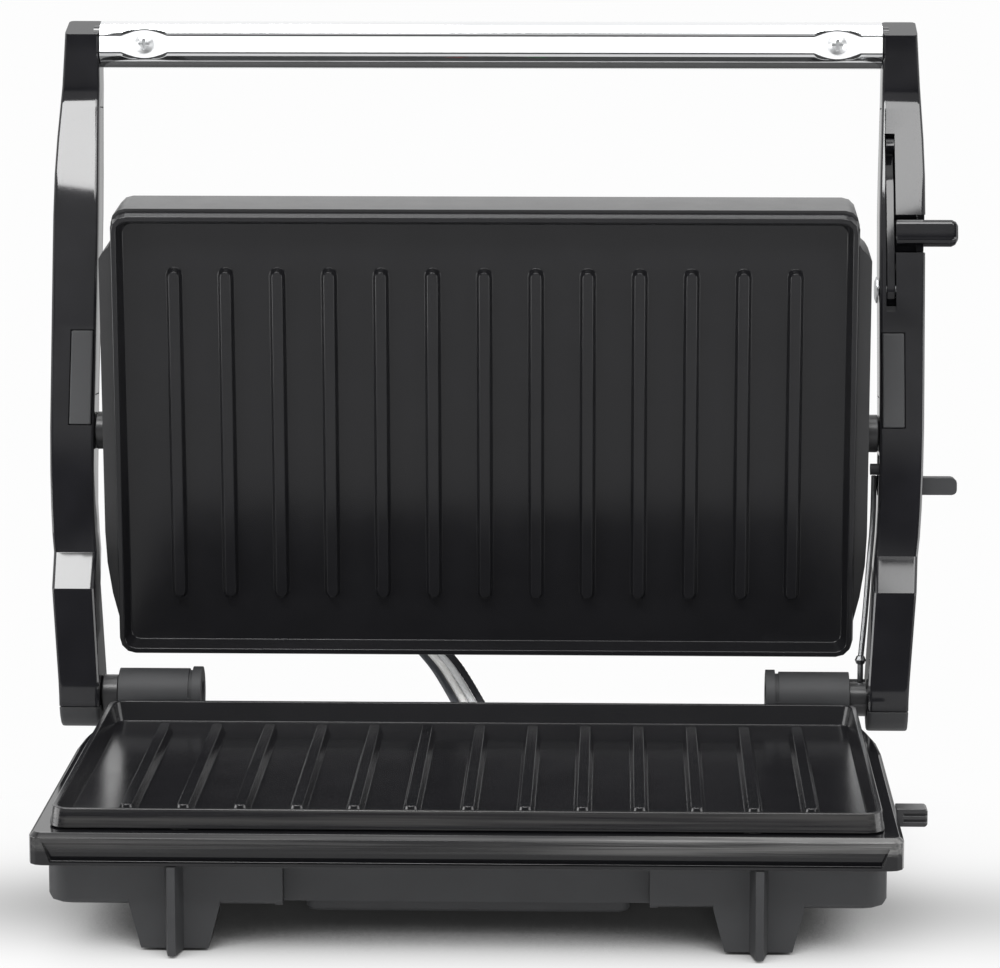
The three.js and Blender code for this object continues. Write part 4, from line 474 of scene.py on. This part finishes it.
def soften(piece, width, full, angle, tree):
    """Welds the loose triangles, joins flat ones, rounds sharp edges and shades softly."""
    weld = piece.modifiers.new("weld", "WELD")
    weld.merge_threshold = WELD_REACH
    if width:
        flat = piece.modifiers.new("flat_faces", "DECIMATE")
        flat.decimate_type = "DISSOLVE"
        flat.angle_limit = FLAT_ANGLE
        bevel = piece.modifiers.new("edge", "BEVEL")
        bevel.width = width
        bevel.segments = EDGE_SEGMENTS
        bevel.limit_method = "ANGLE"
        bevel.angle_limit = SHARP_ANGLE
        bevel.use_clamp_overlap = not full
    shading = piece.modifiers.new("shading", "NODES")
    shading.node_group = tree
    shading[identifier(tree, "Angle")] = angle
    if width:
        normals = piece.modifiers.new("flat_normals", "WEIGHTED_NORMAL")
        normals.keep_sharp = True


def dress_frame():
    """Gives every node of the model its material and soft edges."""
    tree = smoothing_tree()
    slots = {entry["node"]: entry["material_slot"] for entry in frame["record"]["subparts"]}
    for name, piece in frame["nodes"].items():
        look = slots[name]
        finish = OWN_FINISHES.get(name, FINISHES[look])
        for slot in piece.material_slots:
            slot.material = finish
        angle = GLOSS_SOFT_ANGLE if look == "gloss" else SOFT_ANGLE
        soften(piece, EDGE_WIDTHS.get(look, 0), look in FULL_WIDTH, angle, tree)


def route_point(before, low, high, after, share):
    """Point between low and high on a smooth curve through four points (centripetal Catmull-Rom)."""
    knots = [0.0]
    for one, other in ((before, low), (low, high), (high, after)):
        knots.append(knots[-1] + max((other - one).length, 1e-6) ** 0.5)
    t = knots[1] + share * (knots[2] - knots[1])

    def mix(one, other, start, end):
        return one * ((end - t) / (end - start)) + other * ((t - start) / (end - start))

    a = mix(before, low, knots[0], knots[1])
    b = mix(low, high, knots[1], knots[2])
    c = mix(high, after, knots[2], knots[3])
    return mix(mix(a, b, knots[0], knots[2]), mix(b, c, knots[1], knots[3]), knots[1], knots[2])


def evenly(points, count):
    """The same line with its points an equal way apart."""
    lengths = [0.0]
    for one, other in zip(points, points[1:]):
        lengths.append(lengths[-1] + (other - one).length)
    spaced = []
    reach = 0
    for step in range(count + 1):
        goal = lengths[-1] * step / count
        while reach < len(points) - 2 and lengths[reach + 1] < goal:
            reach += 1
        share = (goal - lengths[reach]) / (lengths[reach + 1] - lengths[reach])
        spaced.append(points[reach].lerp(points[reach + 1], share))
    return spaced


def lead_route(node):
    """Middle line of a lead from the base to the lid, from the place of its solid."""
    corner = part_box(node)[0]
    route = [corner + Vector(point) * MM for point in reversed(LEAD_ROUTE)]
    route[0] += (route[0] - route[1]).normalized() * LEAD_INTO_RING
    route[-1] += (route[-1] - route[-2]).normalized() * LEAD_INTO_RING
    ends = [route[0] * 2 - route[1], *route, route[-1] * 2 - route[-2]]
    fine = []
    for index in range(len(route) - 1):
        four = ends[index:index + 4]
        fine += [route_point(*four, step / ROUTE_STEPS) for step in range(ROUTE_STEPS)]
    return evenly([*fine, route[-1]], LEAD_STEPS)


def frames_along(points):
    """Two directions across a line at each of its points, carried on without twist."""
    side = Vector((1, 0, 0))
    frames = []
    for index in range(len(points)):
        ahead = points[min(index + 1, len(points) - 1)] - points[max(index - 1, 0)]
        ahead.normalize()
        side = (side - ahead * side.dot(ahead)).normalized()
        frames.append((side, ahead.cross(side)))
    return frames


def braid_lines(points, radius):
    """Lines of the strands that wind both ways round a lead, over and under each other."""
    frames = frames_along(points)
    step = (points[1] - points[0]).length
    lines = []
    for way in (1, -1):
        for strand in range(BRAID_STRANDS):
            line = []
            for index, point in enumerate(points):
                turn = 2 * math.pi * index * step / BRAID_PITCH
                angle = way * turn + 2 * math.pi * strand / BRAID_STRANDS
                weave = math.cos(BRAID_STRANDS * turn + math.pi * strand) * way * BRAID_WEAVE
                side, up = frames[index]
                line.append(point + (side * math.cos(angle) + up * math.sin(angle)) * (radius + weave))
            lines.append(line)
    return lines


def tubes(name, lines, radius, sides, finish, tree):
    """A plain mesh of tubes along the lines, made by the tube tree."""
    mesh = bpy.data.meshes.new(name + "_lines")
    points = [point for line in lines for point in line]
    edges = []
    start = 0
    for line in lines:
        edges += [(start + index, start + index + 1) for index in range(len(line) - 1)]
        start += len(line)
    mesh.from_pydata(points, edges, [])
    carrier = bpy.data.objects.new(name + "_lines", mesh)
    bpy.context.scene.collection.objects.link(carrier)
    modifier = carrier.modifiers.new("tubes", "NODES")
    modifier.node_group = tree
    modifier[identifier(tree, "Radius")] = radius
    modifier[identifier(tree, "Sides")] = sides
    modifier[identifier(tree, "Finish")] = finish
    shape = bpy.context.evaluated_depsgraph_get()
    skin = bpy.data.meshes.new_from_object(carrier.evaluated_get(shape))
    skin.name = name
    bpy.data.objects.remove(carrier)
    piece = bpy.data.objects.new(name, skin)
    bpy.context.scene.collection.objects.link(piece)
    return piece


def hold(piece, points, node):
    """Fixes a stretch of a lead where it lies, in the place of its solid, and hides the solid."""
    start, end = points[0], points[-1]
    inwards = (end - start).normalized() * LEAD_RADIUS * LEAD_HELD_ENDS
    start + inwards
    end - inwards
    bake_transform(piece)
    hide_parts(node)


def leads():
    """The four leads between base and lid, each in three stretches, one for each span in LEAD_SPANS."""
    tree = tube_tree()
    for node, slot in LEAD_SLOTS.items():
        route = lead_route(node)
        for number, span in enumerate(LEAD_SPANS, 1):
            first, last = round(span[2] * LEAD_STEPS), round(span[3] * LEAD_STEPS)
            points = route[first:last + 1]
            name = f"{node}_stretch_{number}"
            if slot != "black_sleeve":
                piece = tubes(name, [points], LEAD_RADIUS, LEAD_SIDES, FINISHES[slot], tree)
                hold(piece, points, node)
                continue
            core = tubes(name, [points], LEAD_RADIUS - 2 * BRAID_RADIUS, LEAD_SIDES, FINISHES["rubber"], tree)
            hold(core, points, node)
            fine = evenly(route, BRAID_FINENESS * LEAD_STEPS)
            winding = braid_lines(fine, LEAD_RADIUS - BRAID_RADIUS - BRAID_WEAVE)
            lines = [line[BRAID_FINENESS * first:BRAID_FINENESS * last + 1] for line in winding]
            strands = tubes(name + "_braid", lines, BRAID_RADIUS, BRAID_SIDES, FINISHES[slot], tree)
            hold(strands, points, node)


def camera():
    data = bpy.data.cameras.new("photo_camera")
    data.sensor_fit = "HORIZONTAL"
    data.sensor_width = SENSOR_WIDTH
    data.lens = SENSOR_WIDTH * FOCAL_LENGTH_PIXELS / PHOTO_WIDTH
    data.clip_end = CAMERA_REACH
    seat = bpy.data.objects.new("photo_camera", data)
    up = CAMERA_RIGHT.cross(CAMERA_FORWARD)
    turn = Matrix((CAMERA_RIGHT, up, -CAMERA_FORWARD)).transposed()
    low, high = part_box("lower_plate")
    middle = (low + high).to_2d() / 2
    place = (*(middle + CAMERA_FROM_PLATE), CAMERA_HEIGHT)
    seat.matrix_world = Matrix.Translation(place) @ turn.to_4x4()
    bpy.context.scene.collection.objects.link(seat)
    bpy.context.scene.camera = seat


def area_light(name, place, target, size, power):
    data = bpy.data.lights.new(name, "AREA")
    data.shape = "RECTANGLE"
    data.size, data.size_y = size
    data.energy = power
    lamp = bpy.data.objects.new(name, data)
    lamp.location = place
    lamp.rotation_euler = (Vector(target) - Vector(place)).to_track_quat("-Z", "Y").to_euler()
    bpy.context.scene.collection.objects.link(lamp)
    return lamp


# The room's brightness. Diffuse rays see the first value in every direction. What polished surfaces see
# is set by direction: each pair below says from where to where a part fades in, as a share of the unit
# vector's height (rises, falls), of its way to the back, or of its way to either side, where it fades out.
ROOM_DIFFUSE = 0.3
ROOM_LOW = 0.05
ROOM_BAND = 0.24
ROOM_MIDDLE = 0.55
ROOM_TOP = 1.6
ROOM_BAND_RISES = (0.14, 0.2)
ROOM_BAND_FALLS = (0.38, 0.32)
ROOM_MIDDLE_RISES = (0.44, 0.5)
ROOM_TOP_RISES = (0.82, 0.9)
ROOM_BACK = (-0.1, 0.1)
ROOM_SIDES = (0.35, 0.7)


def room():
    """World: white behind the object, and a dim room in front of it with a pale band, paler above."""
    world = bpy.data.worlds.new("studio")
    world.use_nodes = True
    tree = world.node_tree
    tree.nodes.clear()
    at = add_node(tree, "ShaderNodeTexCoord", output="Generated")
    back = at.along((0, 1, 0)).limited(*ROOM_BACK)
    height = at.along((0, 0, 1))
    sides = 1 - at.along((1, 0, 0)).maths("ABSOLUTE").limited(*ROOM_SIDES)
    middle = ROOM_LOW + height.limited(*ROOM_MIDDLE_RISES) * sides * (ROOM_MIDDLE - ROOM_LOW)
    band = height.limited(*ROOM_BAND_RISES) * height.limited(*ROOM_BAND_FALLS) * (ROOM_BAND - ROOM_LOW)
    front = middle + band + height.limited(*ROOM_TOP_RISES) * (ROOM_TOP - ROOM_MIDDLE)
    seen = front.maths("MAXIMUM", back)
    camera_ray = add_node(tree, "ShaderNodeLightPath", output="Is Camera Ray")
    diffuse_ray = add_node(tree, "ShaderNodeLightPath", output="Is Diffuse Ray")
    shown = seen + diffuse_ray * (ROOM_DIFFUSE - seen)
    strength = shown + camera_ray * (1 - shown)
    light = strength.node("ShaderNodeBackground", {"Color": (1, 1, 1, 1), "Strength": strength})
    end = tree.nodes.new("ShaderNodeOutputWorld")
    tree.links.new(light.socket, end.inputs["Surface"])
    bpy.context.scene.world = world


def flat_sheet(name, low, high, height):
    """A level rectangle between two corners."""
    mesh = bpy.data.meshes.new(name)
    left, front = low
    right, rear = high
    corners = [(left, front, height), (right, front, height), (right, rear, height), (left, rear, height)]
    mesh.from_pydata(corners, [], [(0, 1, 2, 3)])
    sheet = bpy.data.objects.new(name, mesh)
    bpy.context.scene.collection.objects.link(sheet)
    return sheet


# The floor: a painted grey band of shade across it at the front half of the base, deeper beside the base, and
# a painted soft shadow under and beside the base, both in the floor's glow.
BAND_MIDDLE = -63 * MM
BAND_SPREAD = 40 * MM
BAND_DEPTH = 0.3
BAND_REACH = 190 * MM
BAND_FADE = 120 * MM
BESIDE_DEPTH = 0.26
BESIDE_ROOM = 35 * MM
SHADOW_REACH = 60 * MM
SHADOW_SAMPLES = 16
SHADOW_SOFTNESS = 0.22
SHADOW_CORE = 0.11
MIRROR_SHARE = 0.12
REFLECTED_FLOOR = 0.74
FLOOR_HALF = 6
FLOOR_GREY = (0.9, 0.9, 0.9, 1)
FLOOR_ROUGHNESS = 0.25


def floor():
    """Pale floor that glows white away from the grill, with a painted grey band and a painted soft shadow in
    its glow near the base, where a small share of the lit floor keeps its real shadow.
    """
    ground = flat_sheet("floor", (-FLOOR_HALF, -FLOOR_HALF), (FLOOR_HALF, FLOOR_HALF), 0)
    paint = bpy.data.materials.new("floor_paint")
    paint.use_nodes = True
    tree = paint.node_tree
    shader = tree.nodes["Principled BSDF"]
    shader.inputs["Base Color"].default_value = FLOOR_GREY
    shader.inputs["Roughness"].default_value = FLOOR_ROUGHNESS
    at = add_node(tree, "ShaderNodeTexCoord", output="Object")
    low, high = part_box("base_frame")
    middle = (low + high) / 2
    half = (high - low) / 2
    aside = (at.along((1, 0, 0)) - middle.x).maths("ABSOLUTE")
    beside = aside - half.x
    before = (at.along((0, 1, 0)) - middle.y).maths("ABSOLUTE") - half.y
    away = beside.maths("MAXIMUM", before).maths("MAXIMUM", 0)
    near = 1 - away.limited(0, BESIDE_ROOM)
    # Painted shade: a grey band across the floor, deeper next to the base.
    offset = (at.along((0, 1, 0)) - BAND_MIDDLE) / BAND_SPREAD
    band = (-1 * offset * offset).maths("EXPONENT") * aside.limited(BAND_REACH + BAND_FADE, BAND_REACH)
    grey = 1 - band * (BAND_DEPTH + near * BESIDE_DEPTH)
    # Painted shadow: darker where ambient occlusion finds the grill close.
    reach = {"Distance": SHADOW_REACH}
    open_sky = add_node(tree, "ShaderNodeAmbientOcclusion", reach, output="AO", samples=SHADOW_SAMPLES)
    soft = 1 - (-1 * (open_sky - SHADOW_CORE).maths("MAXIMUM", 0) / SHADOW_SOFTNESS).maths("EXPONENT")
    camera_ray = add_node(tree, "ShaderNodeLightPath", output="Is Camera Ray")
    glossy_ray = add_node(tree, "ShaderNodeLightPath", output="Is Glossy Ray")
    dimmed = 1 - glossy_ray * (1 - REFLECTED_FLOOR)
    glow = grey.node("ShaderNodeEmission", {"Color": grey * soft * dimmed, "Strength": 1.0})
    white = camera_ray.maths("MAXIMUM", glossy_ray) * (1 - near * MIRROR_SHARE)
    lit = Field(tree, shader.outputs["BSDF"])
    mixed = white.node("ShaderNodeMixShader", {0: white, 1: lit, 2: glow})
    tree.links.new(mixed.socket, tree.nodes["Material Output"].inputs["Surface"])
    ground.data.materials.append(paint)


CARD_CORNERS = ((-0.35, 0.1), (0.35, 0.5))
CARD_HEIGHT = 0.001
CARD_BLACK = (0.01, 0.01, 0.01, 1)


def black_card():
    """A card behind the grill that only reflections show, for the dark line under the tube."""
    card = flat_sheet("black_card", *CARD_CORNERS, CARD_HEIGHT)
    black = bpy.data.materials.new("card_black")
    black.use_nodes = True
    black.node_tree.nodes["Principled BSDF"].inputs["Base Color"].default_value = CARD_BLACK
    card.data.materials.append(black)
    card.visible_camera = False
    card.visible_diffuse = False
    card.visible_shadow = False


# Area lamps: name, place, what they face, width and height, and power in watts.
LAMPS = [
    ("front_left", (-0.46, -0.85, 1.42), (-0.1, 0.02, 0.2), (0.9, 0.34), 15),
    ("front_right", (0.46, -0.85, 1.42), (0.1, 0.02, 0.2), (0.9, 0.34), 8),
    ("overhead", (0, 0.1, 1.5), (0, 0, 0), (1.1, 0.5), 5),
    ("knee_left", (-0.4, 0.6, 1.5), (-0.12, 0.05, 0.1), (0.7, 0.3), 7),
    ("knee_right", (0.4, 0.6, 1.5), (0.12, 0.05, 0.1), (0.7, 0.3), 2.4),
    ("fill", (0.04, -1.15, 0.27), (0.02, 0.05, 0.06), (0.3, 0.08), 6),
    ("low_left", (-0.62, -0.12, 0.16), (0, -0.02, 0.12), (0.5, 0.3), 2.6),
    ("low_right", (0.62, -0.12, 0.16), (0, -0.02, 0.12), (0.5, 0.3), 1.6),
]
# Lamps that polished surfaces don't show.
UNSEEN_LAMPS = {"fill"}


def studio():
    """Pale floor, white surround and soft lights."""
    bpy.context.scene.view_settings.view_transform = "Standard"
    room()
    floor()
    black_card()
    for name, *setting in LAMPS:
        lamp = area_light(name, *setting)
        lamp.visible_glossy = name not in UNSEEN_LAMPS


camera()
dress_frame()
leads()
studio()
